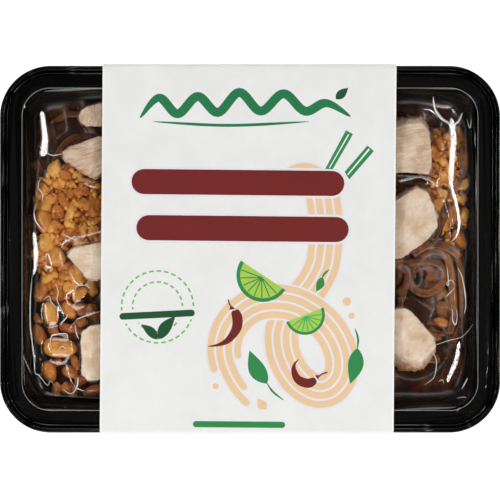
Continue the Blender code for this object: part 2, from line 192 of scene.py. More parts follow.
def makeMottle():  # two colours in soft patches, with a finer grain over them
    group, given, result = newGroup("mottle", [
        ("First", "NodeSocketColor", (1, 1, 1, 1)),
        ("Second", "NodeSocketColor", (0, 0, 0, 1)),
        ("Patch Scale", "NodeSocketFloat", 200.0),
        ("Fine Scale", "NodeSocketFloat", 900.0),
        ("Fine Share", "NodeSocketFloat", 0.3),
        ("Low", "NodeSocketFloat", 0.35),
        ("High", "NodeSocketFloat", 0.65)],
        [("Color", "NodeSocketColor"), ("Mask", "NodeSocketFloat")])
    place = addNode(group, "ShaderNodeTexCoord").outputs["Object"]
    patches = addNode(group, "ShaderNodeTexNoise",
                      {"Vector": place, "Scale": given.outputs["Patch Scale"], "Detail": 3.0})
    grain = addNode(group, "ShaderNodeTexNoise",
                    {"Vector": place, "Scale": given.outputs["Fine Scale"], "Detail": 2.0})
    both = addNode(group, "ShaderNodeMix", {"Factor": given.outputs["Fine Share"],
                                            "A": patches.outputs["Fac"], "B": grain.outputs["Fac"]})
    mask = addNode(group, "ShaderNodeMapRange", {"Value": both.outputs["Result"],
                                                 "From Min": given.outputs["Low"],
                                                 "From Max": given.outputs["High"]})
    blend = addNode(group, "ShaderNodeMix", data_type="RGBA")
    group.links.new(mask.outputs["Result"], blend.inputs["Factor"])
    group.links.new(given.outputs["First"], blend.inputs["A"])
    group.links.new(given.outputs["Second"], blend.inputs["B"])
    group.links.new(blend.outputs["Result"], result.inputs["Color"])
    group.links.new(mask.outputs["Result"], result.inputs["Mask"])
    return group


def makeRelief():  # small ups and downs at two sizes, for a bump
    group, given, result = newGroup("relief", [
        ("Wide Scale", "NodeSocketFloat", 400.0),
        ("Fine Scale", "NodeSocketFloat", 2500.0),
        ("Fine Share", "NodeSocketFloat", 0.4)],
        [("Height", "NodeSocketFloat")])
    place = addNode(group, "ShaderNodeTexCoord").outputs["Object"]
    wide = addNode(group, "ShaderNodeTexNoise", {"Vector": place, "Scale": given.outputs["Wide Scale"]})
    fine = addNode(group, "ShaderNodeTexNoise", {"Vector": place, "Scale": given.outputs["Fine Scale"]})
    both = addNode(group, "ShaderNodeMix", {"Factor": given.outputs["Fine Share"],
                                            "A": wide.outputs["Fac"], "B": fine.outputs["Fac"]})
    group.links.new(both.outputs["Result"], result.inputs["Height"])
    return group


mottleGroup = makeMottle()
reliefGroup = makeRelief()


def finish(name, look, reliefValues=None, bump=0.0):  # a Principled material with relief on it
    material = bpy.data.materials.new(name)
    material.use_nodes = True
    tree = material.node_tree
    shader = tree.nodes["Principled BSDF"]
    for key, value in look.items():
        shader.inputs[key].default_value = value
    if reliefValues:
        relief = addNode(tree, "ShaderNodeGroup", node_tree=reliefGroup)
        for key, value in reliefValues.items():
            relief.inputs[key].default_value = value
        raised = addNode(tree, "ShaderNodeBump",
                         {"Height": relief.outputs["Height"], "Distance": bump, "Strength": 1.0})
        tree.links.new(raised.outputs["Normal"], shader.inputs["Normal"])
    return material


def mottled(material, values):  # colours the material with the mottle group and returns that node
    tree = material.node_tree
    patches = addNode(tree, "ShaderNodeGroup", node_tree=mottleGroup)
    for key, value in values.items():
        patches.inputs[key].default_value = value
    tree.links.new(patches.outputs["Color"], tree.nodes["Principled BSDF"].inputs["Base Color"])
    return patches


# Heights of what lies in the tray

fieldStep = 0.5
fieldHalfX = 88.0
fieldHalfY = 64.0
fieldX = np.arange(-fieldHalfX, fieldHalfX + 0.01, fieldStep)
fieldY = np.arange(-fieldHalfY, fieldHalfY + 0.01, fieldStep)
gridX, gridY = np.meshgrid(fieldX, fieldY)


def fieldCells(x, y):
    columns = np.clip(np.rint((np.asarray(x) + fieldHalfX) / fieldStep).astype(int), 0, len(fieldX) - 1)
    rows = np.clip(np.rint((np.asarray(y) + fieldHalfY) / fieldStep).astype(int), 0, len(fieldY) - 1)
    return rows, columns


def layOn(levels, points):  # raises the field to the highest point in each cell
    rows, columns = fieldCells(points[:, 0], points[:, 1])
    np.maximum.at(levels, (rows, columns), points[:, 2])


def widen(levels, times=1):
    wide = levels.copy()
    for _ in range(times):
        padded = np.pad(wide, 1, mode="edge")
        wide = np.max([padded[1:-1, 1:-1], padded[:-2, 1:-1], padded[2:, 1:-1],
                       padded[1:-1, :-2], padded[1:-1, 2:]], axis=0)
    return wide


def facePoints(points, faces):  # the points with the middles of the faces and edges, to cover cells
    corners = np.array([face[:3] for face in faces])
    a, b, c = points[corners[:, 0]], points[corners[:, 1]], points[corners[:, 2]]
    return np.concatenate([points, (a + b + c) / 3, (a + b) / 2, (b + c) / 2, (a + c) / 2])


# Tray

tray = dict(
    length=187.0, width=137.2, base=0.65, flangeTop=36.65, wall=0.8, corner=19.0,
    flangeInset=8.5, rim=0.8, draft=math.radians(12), floorFillet=7.0,
    cavityCorner=10.5, floorCorner=14.0, lip=32.65, arcSteps=26, sideStep=12.0)
tray["floorTop"] = tray["base"] + tray["wall"]
tray["rimBase"] = tray["flangeTop"] - tray["rim"]


def wallInset(level, offset=0.0):
    lean = (tray["rimBase"] - level) * math.tan(tray["draft"])
    return tray["flangeInset"] + tray["rim"] + lean - offset / math.cos(tray["draft"])


def wallCorner(level):
    depth = min(1.0, max(0.0, (tray["flangeTop"] - level) / 36.0))
    return tray["cavityCorner"] + (tray["floorCorner"] - tray["cavityCorner"]) * depth


def floorCurve(offset, steps):  # inset and level up the curve from floor to wall
    turn = math.pi / 2 - tray["draft"]
    tangentLevel = tray["floorTop"] + tray["floorFillet"] * (1 - math.cos(turn))
    middle = wallInset(tangentLevel) + tray["floorFillet"] * math.sin(turn)
    radius = tray["floorFillet"] + offset
    curve = []
    for step in range(steps + 1):
        angle = turn * step / steps
        curve.append((middle - radius * math.sin(angle),
                      tray["floorTop"] + tray["floorFillet"] - radius * math.cos(angle)))
    return curve


def keepInside(points):  # food that would reach through the tray's wall is pressed against it
    inset = wallInset(points[:, 2]) + 0.3
    half = np.stack([tray["length"] / 2 - inset, tray["width"] / 2 - inset], axis=1)
    corner = 13.0
    over = np.maximum(np.abs(points[:, :2]) - half + corner, 0)
    away = np.hypot(over[:, 0], over[:, 1])
    share = np.minimum(1.0, corner / np.maximum(away, 1e-6))[:, None]
    inner = np.sign(points[:, :2]) * (half - corner + over * share)
    points[:, :2] = np.where((share < 1.0) & (over > 0), inner, points[:, :2])
    return points


def trayRing(inset, level, corner):
    ring = roundedRing(tray["length"] / 2 - inset, tray["width"] / 2 - inset, corner,
                       tray["arcSteps"], tray["sideStep"])
    return [(x, y, level) for x, y in ring]


def buildTray():
    profile = [(inset, level, wallCorner(level)) for inset, level in floorCurve(0.0, 8)]
    for level in (20.0, 30.0, 34.5):
        profile.append((wallInset(level), level, wallCorner(level)))
    rim = (tray["flangeInset"] + tray["rim"], tray["rimBase"]), (tray["flangeInset"], tray["flangeTop"])
    profile += [(inset, level, tray["cavityCorner"]) for inset, level in rim]
    flangeCorners = ((5.6, 13.2), (3.4, 15.6))
    profile += [(inset, tray["flangeTop"], corner) for inset, corner in flangeCorners]
    skirt = ((3.3, 4.0), (3.2, 4.0), (3.08, 3.96), (3.0, 3.84), (2.96, 3.6), (2.93, 3.3), (2.87, 3.1),
             (2.76, 3.02), (2.6, 3.0), (2.5, 3.0), (1.9, 3.0), (1.78, 3.0), (1.64, 2.95), (1.56, 2.8),
             (1.53, 2.5), (1.5, 2.15), (1.43, 1.94), (1.3, 1.87), (1.16, 1.85), (0.8, 1.85), (0.66, 1.84),
             (0.52, 1.76), (0.44, 1.6), (0.41, 1.2), (0.37, 0.75), (0.28, 0.5), (0.1, 0.36), (0.0, 0.22),
             (0.03, 0.08), (0.14, 0.0), (0.7, 0.0), (1.2, 0.45), (2.2, 1.9), (3.0, 2.6), (3.4, 3.0))
    for inset, rise in skirt:
        profile.append((inset, tray["lip"] + rise, tray["corner"] - inset))
    under = tray["flangeTop"] - tray["wall"]
    profile.append((wallInset(under, tray["wall"]) - 0.8, under, tray["cavityCorner"] + 0.6))
    profile.append((wallInset(under - 0.7, tray["wall"]), under - 0.7, tray["cavityCorner"] + 0.3))
    for level in (30.0, 20.0):
        profile.append((wallInset(level, tray["wall"]), level, wallCorner(level) + tray["wall"]))
    for inset, level in reversed(floorCurve(tray["wall"], 8)):
        profile.append((inset, level, wallCorner(level) + tray["wall"]))
    points, faces = loftRings([trayRing(*place) for place in profile])
    plastic = finish("blackPlastic", {
        "Base Color": shade(6, 6, 5), "Roughness": 0.17, "IOR": 1.46, "Coat Weight": 0.0},
        {"Wide Scale": 160.0, "Fine Scale": 2600.0, "Fine Share": 0.3}, 0.00002)
    mottled(plastic, {"First": shade(5, 5, 4), "Second": shade(11, 11, 10),
                      "Patch Scale": 60.0, "Fine Scale": 1500.0, "Low": 0.4, "High": 0.9})
    shell = outward(makeObject("trayShell", points, faces, [plastic]))
    limit = np.array([tray["length"] / 2 - tray["flangeInset"], tray["width"] / 2 - tray["flangeInset"]])
    places = meshPoints(shell.data)
    onRim = (np.abs(places[:, :2]) < limit + 0.02).all(1) & (np.abs(places[:, 2] - tray["flangeTop"]) < 0.02)
    for edge in shell.data.edges:
        edge.use_edge_sharp = bool(onRim[list(edge.vertices)].all())
    return fit(shell, "tray_plastic", "tray")


buildTray()
tell("tray")


# Sleeve

sleeve = dict(
    length=109.6, offset=-0.7, skew=math.tan(math.radians(0.46)), card=0.35, top=37.85,
    side=69.25, fold=1.6, lipBend=32.35, footHalf=52.0, footFold=2.5, stations=28, foldSteps=8)

printInks = dict(
    # cardEdge is a painted highlight: lighter ink where the card's cut edges catch the light
    card=(243, 243, 241), cardEdge=(252, 252, 251), red=(118, 32, 27), green=(32, 125, 75),
    leaf=(46, 142, 78), deepLeaf=(24, 84, 48), lime=(172, 212, 84), noodle=(243, 208, 164),
    lilac=(240, 236, 244), badge=(112, 196, 92), chilli=(116, 32, 28), mint=(62, 186, 104))


def arcPoints(x, y, radius, start, finish, steps=24, squash=1.0):
    points = []
    for step in range(steps + 1):
        angle = math.radians(start + (finish - start) * step / steps)
        points.append((x + radius * math.cos(angle), y + radius * squash * math.sin(angle)))
    return points


def smoothPath(corners, perSpan=10, closed=False):  # a curve through the corners
    points = []
    count = len(corners)
    spans = count if closed else count - 1
    for span in range(spans):
        def corner(offset):
            index = span + offset
            return np.array(corners[index % count if closed else min(max(index, 0), count - 1)], float)
        before, first, second, after = corner(-1), corner(0), corner(1), corner(2)
        for step in range(perSpan):
            t = step / perSpan
            points.append(tuple(0.5 * (2 * first + (second - before) * t
                                       + (2 * before - 5 * first + 4 * second - after) * t * t
                                       + (3 * first - before - 3 * second + after) * t ** 3)))
    if not closed:
        points.append(tuple(float(value) for value in corners[-1]))
    return points


def bandShape(path, width, shift=0.0, taper=0.0):  # a flat band along a path, as an outline
    path = np.array(path, float)
    along = np.gradient(path, axis=0)
    along /= np.linalg.norm(along, axis=1)[:, None] + 1e-9
    across = np.stack([-along[:, 1], along[:, 0]], axis=1)
    share = np.linspace(0, 1, len(path))
    half = np.full(len(path), width / 2)
    if taper:
        half = half * np.clip(np.minimum(share, 1 - share) / taper, 0.04, 1.0) ** 0.6
    middle = path + across * shift
    left = middle + across * half[:, None]
    right = middle - across * half[:, None]
    return [tuple(point) for point in np.concatenate([left, right[::-1]])]


def barShape(x1, y1, x2, y2, height):  # a bar with round ends
    along = np.array([x2 - x1, y2 - y1])
    along = along / np.linalg.norm(along)
    turn = math.degrees(math.atan2(along[1], along[0]))
    radius = height / 2
    ends = arcPoints(x2 - along[0] * radius, y2 - along[1] * radius, radius, turn - 90, turn + 90, 12)
    return ends + arcPoints(x1 + along[0] * radius, y1 + along[1] * radius, radius,
                            turn + 90, turn + 270, 12)


def leafShape(x1, y1, x2, y2, width, bend=0.0):  # a pointed leaf from stem to tip
    stem, tip = np.array([x1, y1], float), np.array([x2, y2], float)
    along = tip - stem
    across = np.array([-along[1], along[0]])
    across = across / np.linalg.norm(across)
    sides = []
    for side in (1, -1):
        row = []
        for step in range(13):
            t = step / 12
            swell = math.sin(math.pi * t ** 0.8) * width / 2
            row.append(stem + along * t + across * (side * swell + bend * math.sin(math.pi * t)))
        sides.append(row)
    return [tuple(point) for point in sides[0] + sides[1][-2:0:-1]]


def turnedBy(vector, degrees):
    angle = math.radians(degrees)
    return np.array([vector[0] * math.cos(angle) - vector[1] * math.sin(angle),
                     vector[0] * math.sin(angle) + vector[1] * math.cos(angle)])


def chilliShape(path, width):  # a pod from its blunt head to its pointed tip
    path = np.array(path, float)
    along = np.gradient(path, axis=0)
    along /= np.linalg.norm(along, axis=1)[:, None] + 1e-9
    across = np.stack([-along[:, 1], along[:, 0]], axis=1)
    share = np.linspace(0, 1, len(path))
    half = np.interp(share, (0, 0.05, 0.16, 0.35, 0.6, 0.8, 1.0), (0.3, 0.78, 1.0, 0.96, 0.6, 0.26, 0.05))
    half = half * width / 2
    left, right = path + across * half[:, None], path - across * half[:, None]
    return [tuple(point) for point in np.concatenate([left, right[::-1]])]


def roundEnd(point, width):
    return arcPoints(*point, width / 2, 0, 345, 14)


def wedgeShapes(x1, y1, x2, y2, side, spokes):  # a slice of lime between two points: rind, flesh, spokes
    first, second = np.array([x1, y1], float), np.array([x2, y2], float)
    middle = (first + second) / 2
    radius = np.linalg.norm(second - first) / 2
    turn = math.degrees(math.atan2(*(second - first)[::-1]))
    start, stop = (turn, turn + 180) if side > 0 else (turn - 180, turn)
    shapes = [("leaf", arcPoints(*middle, radius, start, stop, 30)),
              ("lime", arcPoints(*middle, radius * 0.86, start, stop, 30))]
    hub = middle + (turnedBy(second - first, 90 if side > 0 else -90)) * 0.05
    for spoke in range(1, 9):
        angle = math.radians(start + (stop - start) * spoke / 9)
        tip = middle + radius * 0.84 * np.array([math.cos(angle), math.sin(angle)])
        shapes.append((spokes, bandShape([tuple(hub), tuple(tip)], 0.42)))
    return shapes


def swirlShapes():  # four noodles that fall, turn and coil round, each on a pale outline
    fall = smoothPath([(16.0, 22.6), (17.4, 25.0), (20.3, 25.9), (24.2, 24.4), (26.9, 19.9),
                       (28.0, 13.7), (28.6, 7.0), (27.9, -0.1), (26.9, -6.2), (24.0, -12.2), (20.4, -17.0),
                       (17.0, -20.6)], 10)
    coil = smoothPath([(-0.2, -56.1), (-4.1, -51.8), (-7.6, -45.8), (-9.6, -38.9), (-8.7, -31.7),
                       (-5.0, -25.5), (0.8, -21.1), (7.0, -19.5), (13.7, -19.8), (19.1, -21.5),
                       (24.7, -25.0), (29.6, -29.9), (33.1, -36.2), (34.4, -41.9), (33.8, -46.9),
                       (31.7, -50.4), (28.8, -52.4), (25.1, -52.8), (21.0, -51.2), (17.3, -48.0),
                       (14.0, -42.9), (12.1, -37.3), (11.8, -31.5), (13.1, -27.3), (15.4, -23.6)], 10)
    turn = 170  # where the coil is cut in two, for its tail to pass under its own arch
    # the free ends lie at different lengths: where each strand starts along its path, outer strand first
    ends, hidden, none = (24, 0, 9, 28), (0, 36, 36, 36), (0, 0, 0, 0)
    shapes = []
    for path, starts in ((fall, hidden), (coil[turn - 1:], none), (coil[:turn + 2], ends)):
        for ink, width in (("lilac", 3.9), ("noodle", 2.55)):
            for shift, start in zip((5.0, 1.68, -1.68, -5.0), starts):
                outline = bandShape(path[start:], width, shift)
                if starts is ends:
                    head = (np.array(outline[0]) + np.array(outline[-1])) / 2
                    shapes.append((ink, roundEnd(head, width * 0.98)))
                shapes.append((ink, outline))
    return shapes


def titleShapes():  # two plain bars, a wave with a leaf, and a pair of chopsticks
    shapes = []
    for left, leftY, right, rightY in ((-44.2, 25.3, 35.2, 24.5), (-42.4, 8.1, 36.8, 7.3)):
        shapes.append(("lilac", barShape(left - 0.9, leftY, right + 0.9, rightY, 11.2)))
        shapes.append(("red", barShape(left, leftY, right, rightY, 9.4)))
    wave = smoothPath([(-41.0, 49.0), (-34.0, 56.5), (-27.0, 50.5), (-19.5, 57.0), (-12.0, 51.0),
                       (-4.0, 58.5), (4.0, 51.5), (12.5, 58.0), (20.5, 51.5), (28.5, 54.5),
                       (37.5, 49.5)], 10)
    line = smoothPath([(-36.0, 47.6), (-8.0, 46.2), (22.0, 47.6)], 12)
    shapes += [("green", bandShape(wave, 3.4, taper=0.12)), ("green", bandShape(line, 1.1, taper=0.3)),
               ("deepLeaf", leafShape(32.0, 56.0, 36.6, 60.2, 3.2)),
               ("leaf", [(35.8, 44.4), (28.0, 29.9), (30.9, 29.9), (38.4, 42.9)]),
               ("card", [(36.6, 43.0), (29.4, 30.3), (29.8, 30.3), (37.1, 42.8)]),
               ("leaf", [(43.8, 38.7), (35.3, 28.9), (37.0, 26.0), (46.2, 36.6)]),
               ("card", [(44.2, 37.6), (36.3, 28.0), (36.6, 27.6), (44.7, 37.1)])]
    return shapes


def garnishShapes():  # lime wedges, chillies, leaves and drops
    shapes = wedgeShapes(-3.4, -4.2, 13.2, -15.2, -1, "leaf")
    shapes += wedgeShapes(13.5, -27.2, 27.4, -21.7, -1, "mint")
    for body, width, cap, stem in (
            ([(-5.9, -22.6), (-4.7, -25.8), (-5.2, -29.9), (-8.2, -33.9), (-12.0, -35.7), (-15.7, -36.2)],
             3.9, [(-7.8, -22.6), (-7.2, -20.8), (-6.2, -21.6), (-5.4, -22.3)],
             [(-8.1, -18.7), (-7.7, -20.3), (-6.8, -22.0)]),
            ([(24.6, -48.6), (21.6, -50.0), (18.0, -48.6), (16.4, -45.4), (16.6, -42.9), (18.2, -40.9)],
             3.5, [(24.2, -47.0), (26.4, -46.9), (25.6, -47.8), (25.6, -49.0)],
             [(28.9, -45.9), (26.9, -46.5), (25.2, -47.9)])):
        shapes.append(("chilli", chilliShape(smoothPath(body, 6), width)))
        shapes.append(("lilac", bandShape([cap[0], cap[-1]], 0.9)))
        shapes.append(("chilli", cap))
        shapes.append(("chilli", bandShape(smoothPath(stem, 4), 0.55)))
    for stem, tip, width, bend, stalk in (
            ((6.4, -50.2), (-0.2, -37.7), 6.2, 0.9, [(6.2, -49.8), (8.6, -53.2), (12.6, -56.3)]),
            ((40.1, -36.8), (37.3, -50.3), 5.8, 0.6, [(40.0, -37.4), (40.3, -33.4), (39.1, -29.4)]),
            ((27.0, -10.4), (24.7, -15.8), 3.0, 0.3, [(26.8, -10.8), (27.9, -9.0), (29.6, -7.6)])):
        shapes.append(("leaf", leafShape(*stem, *tip, width, bend)))
        shapes.append(("leaf", bandShape(smoothPath(stalk, 5), 0.8, taper=0.4)))
    for x, y, radius in ((36.1, -19.5, 1.6), (37.9, -24.8, 1.15), (-12.8, -51.1, 1.15)):
        shapes.append(("noodle", arcPoints(x, y, radius, 0, 345, 18)))
    shapes.append(("noodle", leafShape(6.2, -59.6, 2.8, -55.7, 3.4, 0.3)))
    return shapes


def badgeShapes():  # two dashed rings with a bar and leaves, and the bar at the foot of the panel
    shapes = []
    for radius, dashes, fill in ((13.4, 30, 0.62), (9.3, 22, 0.6)):
        for dash in range(dashes):
            start = 360 * dash / dashes
            stop = start + 360 / dashes * fill
            outer = arcPoints(-34.5, -21.5, radius + 0.32, start, stop, 4)
            inner = arcPoints(-34.5, -21.5, radius - 0.32, stop, start, 4)
            shapes.append(("badge", outer + inner))
    shapes.append(("card", barShape(-49.6, -25.4, -19.6, -23.4, 5.2)))
    shapes.append(("deepLeaf", barShape(-48.7, -25.1, -20.6, -23.7, 2.5)))
    shapes.append(("deepLeaf", leafShape(-34.4, -33.6, -40.6, -28.0, 3.4, -0.4)))
    shapes.append(("deepLeaf", leafShape(-34.2, -33.6, -27.8, -24.9, 4.4, 0.5)))
    shapes.append(("leaf", barShape(-21.3, -65.2, 13.1, -65.5, 2.3)))
    return shapes


def printShapes():  # fields of colour on the top panel, back to front, middle of the panel at 0, 0
    return swirlShapes() + titleShapes() + garnishShapes() + badgeShapes()


def windsRound(outline, places):  # the places that an outline winds round
    inside = np.zeros(len(places), bool)
    near = np.nonzero(((places > outline.min(0)) & (places < outline.max(0))).all(axis=1))[0]
    x, y = places[near, 0][:, None], places[near, 1][:, None]
    (x1, y1), (x2, y2) = outline.T, np.roll(outline, -1, axis=0).T
    up, down = (y1 <= y) & (y2 > y), (y1 > y) & (y2 <= y)
    side = (x2 - x1) * (y - y1) - (x - x1) * (y2 - y1)
    inside[near] = ((up & (side > 0)).sum(axis=1) - (down & (side < 0)).sum(axis=1)) != 0
    return inside


def roundCorners(corners, steps):
    loop = []
    for index, (y, z, radius) in enumerate(corners):
        corner = Vector((y, z))
        back = (Vector(corners[index - 1][:2]) - corner).normalized()
        ahead = (Vector(corners[(index + 1) % len(corners)][:2]) - corner).normalized()
        half = back.angle(ahead) / 2
        centre = corner + (back + ahead).normalized() * (radius / math.sin(half))
        start = corner + back * radius / math.tan(half) - centre
        stop = corner + ahead * radius / math.tan(half) - centre
        sweep = start.angle_signed(stop)
        for step in range(steps + 1):
            loop.append(centre + Matrix.Rotation(-sweep * step / steps, 2) @ start)
    return loop


def insetLoop(loop, distance):
    moved = []
    for index, point in enumerate(loop):
        before = (point - loop[index - 1]).normalized()
        after = (loop[(index + 1) % len(loop)] - point).normalized()
        normal = Vector((-before.y - after.y, before.x + after.x)).normalized()
        moved.append(point + normal * distance / normal.dot(Vector((-before.y, before.x))))
    return moved


def sleevePlace(x, point):  # a point of the sleeve's section, on the band as it sits slightly askew
    return (x + point.x * sleeve["skew"], point.x, point.y)


def wrapCard(stations, outer, inner, edgeHighlightInk):  # the band without its printed top panel
    points, faces, slots = [], [], []
    count = len(outer)
    for loop, skipTop in ((outer, True), (inner, False)):
        base = len(points)
        for x in stations:
            points.extend(sleevePlace(x, point) for point in loop)
        for station in range(len(stations) - 1):
            for index in range(count):
                if skipTop and index == sleeve["foldSteps"]:  # the loop's flat top starts here
                    continue
                a = base + station * count + index
                b = base + station * count + (index + 1) % count
                faces.append((a, b, b + count, a + count))
    slots += [0] * len(faces)
    innerBase = len(stations) * count
    # the cut end faces take the lighter ink, a painted highlight on the card's edge
    for start in (0, (len(stations) - 1) * count):
        for index in range(count):
            after = (index + 1) % count
            faces.append((start + index, start + after, innerBase + start + after,
                          innerBase + start + index))
            slots.append(edgeHighlightInk)
    return points, faces, slots


def panelOutlines(stations, front, back):  # the top panel, a painted highlight strip along its two cut edges, and the print
    border = [sleevePlace(x, front)[:2] for x in stations]
    border += [sleevePlace(x, back)[:2] for x in reversed(stations)]
    outlines = [("card", border)]
    # a 0.75 mm strip of lighter ink at each cut end of the top panel is a painted highlight of the edge
    for end, width in ((stations[0], 0.75), (stations[-1], -0.75)):
        low, high = sleevePlace(end, front), sleevePlace(end, back)
        outlines.append(("cardEdge", [low[:2], (low[0] + width, low[1]), (high[0] + width, high[1]),
                                      high[:2]]))
    return outlines + printShapes()


def printPanel(outlines, names):  # the panel cut along every outline, and the ink of each triangle
    flat, edges = [], []
    for _, outline in outlines:
        first, count = len(flat), len(outline)
        flat.extend(Vector(point) for point in outline)
        edges.extend((first + index, first + (index + 1) % count) for index in range(count))
    placed, _, triangles, *_ = delaunay_2d_cdt(flat, edges, [], 1, 1e-4)
    spots = np.array([(point.x, point.y) for point in placed])
    middles = spots[np.array([list(triangle) for triangle in triangles])].mean(axis=1)
    inkHere = np.zeros(len(triangles), int)
    for name, outline in outlines:
        inkHere[windsRound(np.array(outline, float), middles)] = names.index(name)
    return placed, triangles, inkHere.tolist()


def makeInk(name):
    ink = finish("print" + name[0].upper() + name[1:], {
        "Base Color": shade(*printInks[name]), "Roughness": 0.5, "IOR": 1.45},
        {"Wide Scale": 700.0, "Fine Scale": 4200.0, "Fine Share": 0.5}, 0.00003)
    colour = np.array(printInks[name])
    mottled(ink, {"First": shade(*np.minimum(colour * 1.015, 255)), "Second": shade(*(colour * 0.975)),
                  "Patch Scale": 90.0, "Fine Scale": 3500.0, "Fine Share": 0.45,
                  "Low": 0.3, "High": 0.7})
    return ink


def buildSleeve():
    side, top = sleeve["side"], sleeve["top"]
    corners = ((side, top, sleeve["fold"]), (-side, top, sleeve["fold"]),
               (-side, sleeve["lipBend"], sleeve["fold"]), (-sleeve["footHalf"], 0.0, sleeve["footFold"]),
               (sleeve["footHalf"], 0.0, sleeve["footFold"]), (side, sleeve["lipBend"], sleeve["fold"]))
    outer = roundCorners(corners, sleeve["foldSteps"])
    inner = insetLoop(outer, sleeve["card"])
    ends = (sleeve["offset"] - sleeve["length"] / 2, sleeve["offset"] + sleeve["length"] / 2)
    stations = [ends[0] + (ends[1] - ends[0]) * step / sleeve["stations"]
                for step in range(sleeve["stations"] + 1)]
    names = list(printInks)
    points, faces, slots = wrapCard(stations, outer, inner, names.index("cardEdge"))
    front, back = outer[sleeve["foldSteps"] + 1], outer[sleeve["foldSteps"]]
    placed, triangles, inks = printPanel(panelOutlines(stations, front, back), names)
    base = len(points)
    points.extend((point.x, point.y, top) for point in placed)
    faces += [tuple(base + index for index in triangle) for triangle in triangles]
    band = makeObject("cardSleeve", points, faces, [makeInk(name) for name in names], slots + inks,
                      smooth=False)
    bm = bmesh.new()
    bm.from_mesh(band.data)
    bmesh.ops.remove_doubles(bm, verts=bm.verts, dist=2e-6)
    bmesh.ops.recalc_face_normals(bm, faces=bm.faces)
    bm.to_mesh(band.data)
    bm.free()
    band.data.shade_smooth()
    band.data.set_sharp_from_angle(angle=math.radians(40))
    return fit(band, "sleeve_card", "sleeve")


buildSleeve()
tell("sleeve")


# Chicken

chicken = dict(
    voxel=0.5, topSize=0.985, grooves=0.26, lumps=0.4, torn=1.0,
    # direction of the meat's grain in degrees, and how dark its grain lines are
    grain=dict(chicken_a=(74, 1.0), chicken_b=(19, 1.05), chicken_c=(12, 0.4), chicken_d=(92, 0.35),
               chicken_e=(2, 0.8), chicken_f=(40, 0.38), chicken_g=(38, 0.36)),
    # lightness of each piece and how far the sauce has coloured it
    tone=dict(chicken_a=(0.90, 0.1), chicken_b=(0.93, 0.3), chicken_c=(1.0, 0.0), chicken_d=(1.07, -0.1),
              chicken_e=(0.93, 0.0), chicken_f=(0.96, 0.0), chicken_g=(1.0, 0.05)))


def topPlane(mesh):  # level of the top face as a plane: z = a x + b y + c
    corners = set()
    for face in mesh.polygons:
        if face.normal.z > 0.93:
            corners.update(face.vertices)
    points = meshPoints(mesh)
    points = points[sorted(corners)]
    points = points[points[:, 2] > points[:, 2].max() - 5.0]
    system = np.c_[points[:, :2], np.ones(len(points))]
    return np.linalg.lstsq(system, points[:, 2], rcond=None)[0]


def remeshed(piece, voxel):
    change = piece.modifiers.new("voxels", "REMESH")
    change.mode = "VOXEL"
    change.voxel_size = voxel * mm
    bpy.context.view_layer.update()
    shaped = piece.evaluated_get(bpy.context.evaluated_depsgraph_get())
    mesh = bpy.data.meshes.new_from_object(shaped)
    piece.modifiers.clear()
    piece.data = mesh
    mesh.shade_smooth()
    return mesh


def makeMeat():
    meat = finish("cookedMeat", {"Roughness": 0.46, "IOR": 1.42, "Subsurface Weight": 0.0,
                                 "Coat Weight": 0.12, "Coat Roughness": 0.2})
    tree = meat.node_tree
    shader = tree.nodes["Principled BSDF"]
    grain = addNode(tree, "ShaderNodeAttribute", attribute_name="grain").outputs["Vector"]
    strength = addNode(tree, "ShaderNodeAttribute", attribute_name="grainStrength").outputs["Fac"]
    soak = addNode(tree, "ShaderNodeAttribute", attribute_name="soak").outputs["Fac"]
    lightness = addNode(tree, "ShaderNodeAttribute", attribute_name="lightness").outputs["Fac"]
    fibres = addNode(tree, "ShaderNodeTexNoise", {"Vector": grain, "Scale": 1.25, "Detail": 3.0,
                                                  "Roughness": 0.6, "Distortion": 0.5})
    lines = addNode(tree, "ShaderNodeMapRange", {"Value": fibres.outputs["Fac"], "From Min": 0.42,
                                                 "From Max": 0.70})
    drawn = addNode(tree, "ShaderNodeMath", {0: lines.outputs["Result"], 1: strength},
                    operation="MULTIPLY")
    base = addNode(tree, "ShaderNodeGroup", node_tree=mottleGroup)
    for key, value in {"First": shade(248, 228, 205), "Second": shade(222, 190, 156),
                       "Patch Scale": 150.0, "Fine Scale": 900.0, "Fine Share": 0.25,
                       "Low": 0.36, "High": 0.66}.items():
        base.inputs[key].default_value = value
    lined = addNode(tree, "ShaderNodeMix", data_type="RGBA", blend_type="MIX")
    tree.links.new(drawn.outputs["Value"], lined.inputs["Factor"])
    tree.links.new(base.outputs["Color"], lined.inputs["A"])
    lined.inputs["B"].default_value = shade(168, 126, 90)
    soaked = addNode(tree, "ShaderNodeMix", data_type="RGBA", blend_type="MIX")
    tree.links.new(soak, soaked.inputs["Factor"])
    tree.links.new(lined.outputs["Result"], soaked.inputs["A"])
    soaked.inputs["B"].default_value = shade(184, 118, 62)
    toned = addNode(tree, "ShaderNodeVectorMath", {0: soaked.outputs["Result"]}, operation="SCALE")
    tree.links.new(lightness, toned.inputs["Scale"])
    tree.links.new(toned.outputs["Vector"], shader.inputs["Base Color"])
    relief = addNode(tree, "ShaderNodeGroup", node_tree=reliefGroup)
    relief.inputs["Wide Scale"].default_value = 900.0
    relief.inputs["Fine Scale"].default_value = 4200.0
    heights = addNode(tree, "ShaderNodeMath", {0: fibres.outputs["Fac"], 1: relief.outputs["Height"]},
                      operation="ADD")
    raised = addNode(tree, "ShaderNodeBump", {"Height": heights.outputs["Value"], "Distance": 0.00034,
                                              "Strength": 0.9})
    tree.links.new(raised.outputs["Normal"], shader.inputs["Normal"])
    return meat


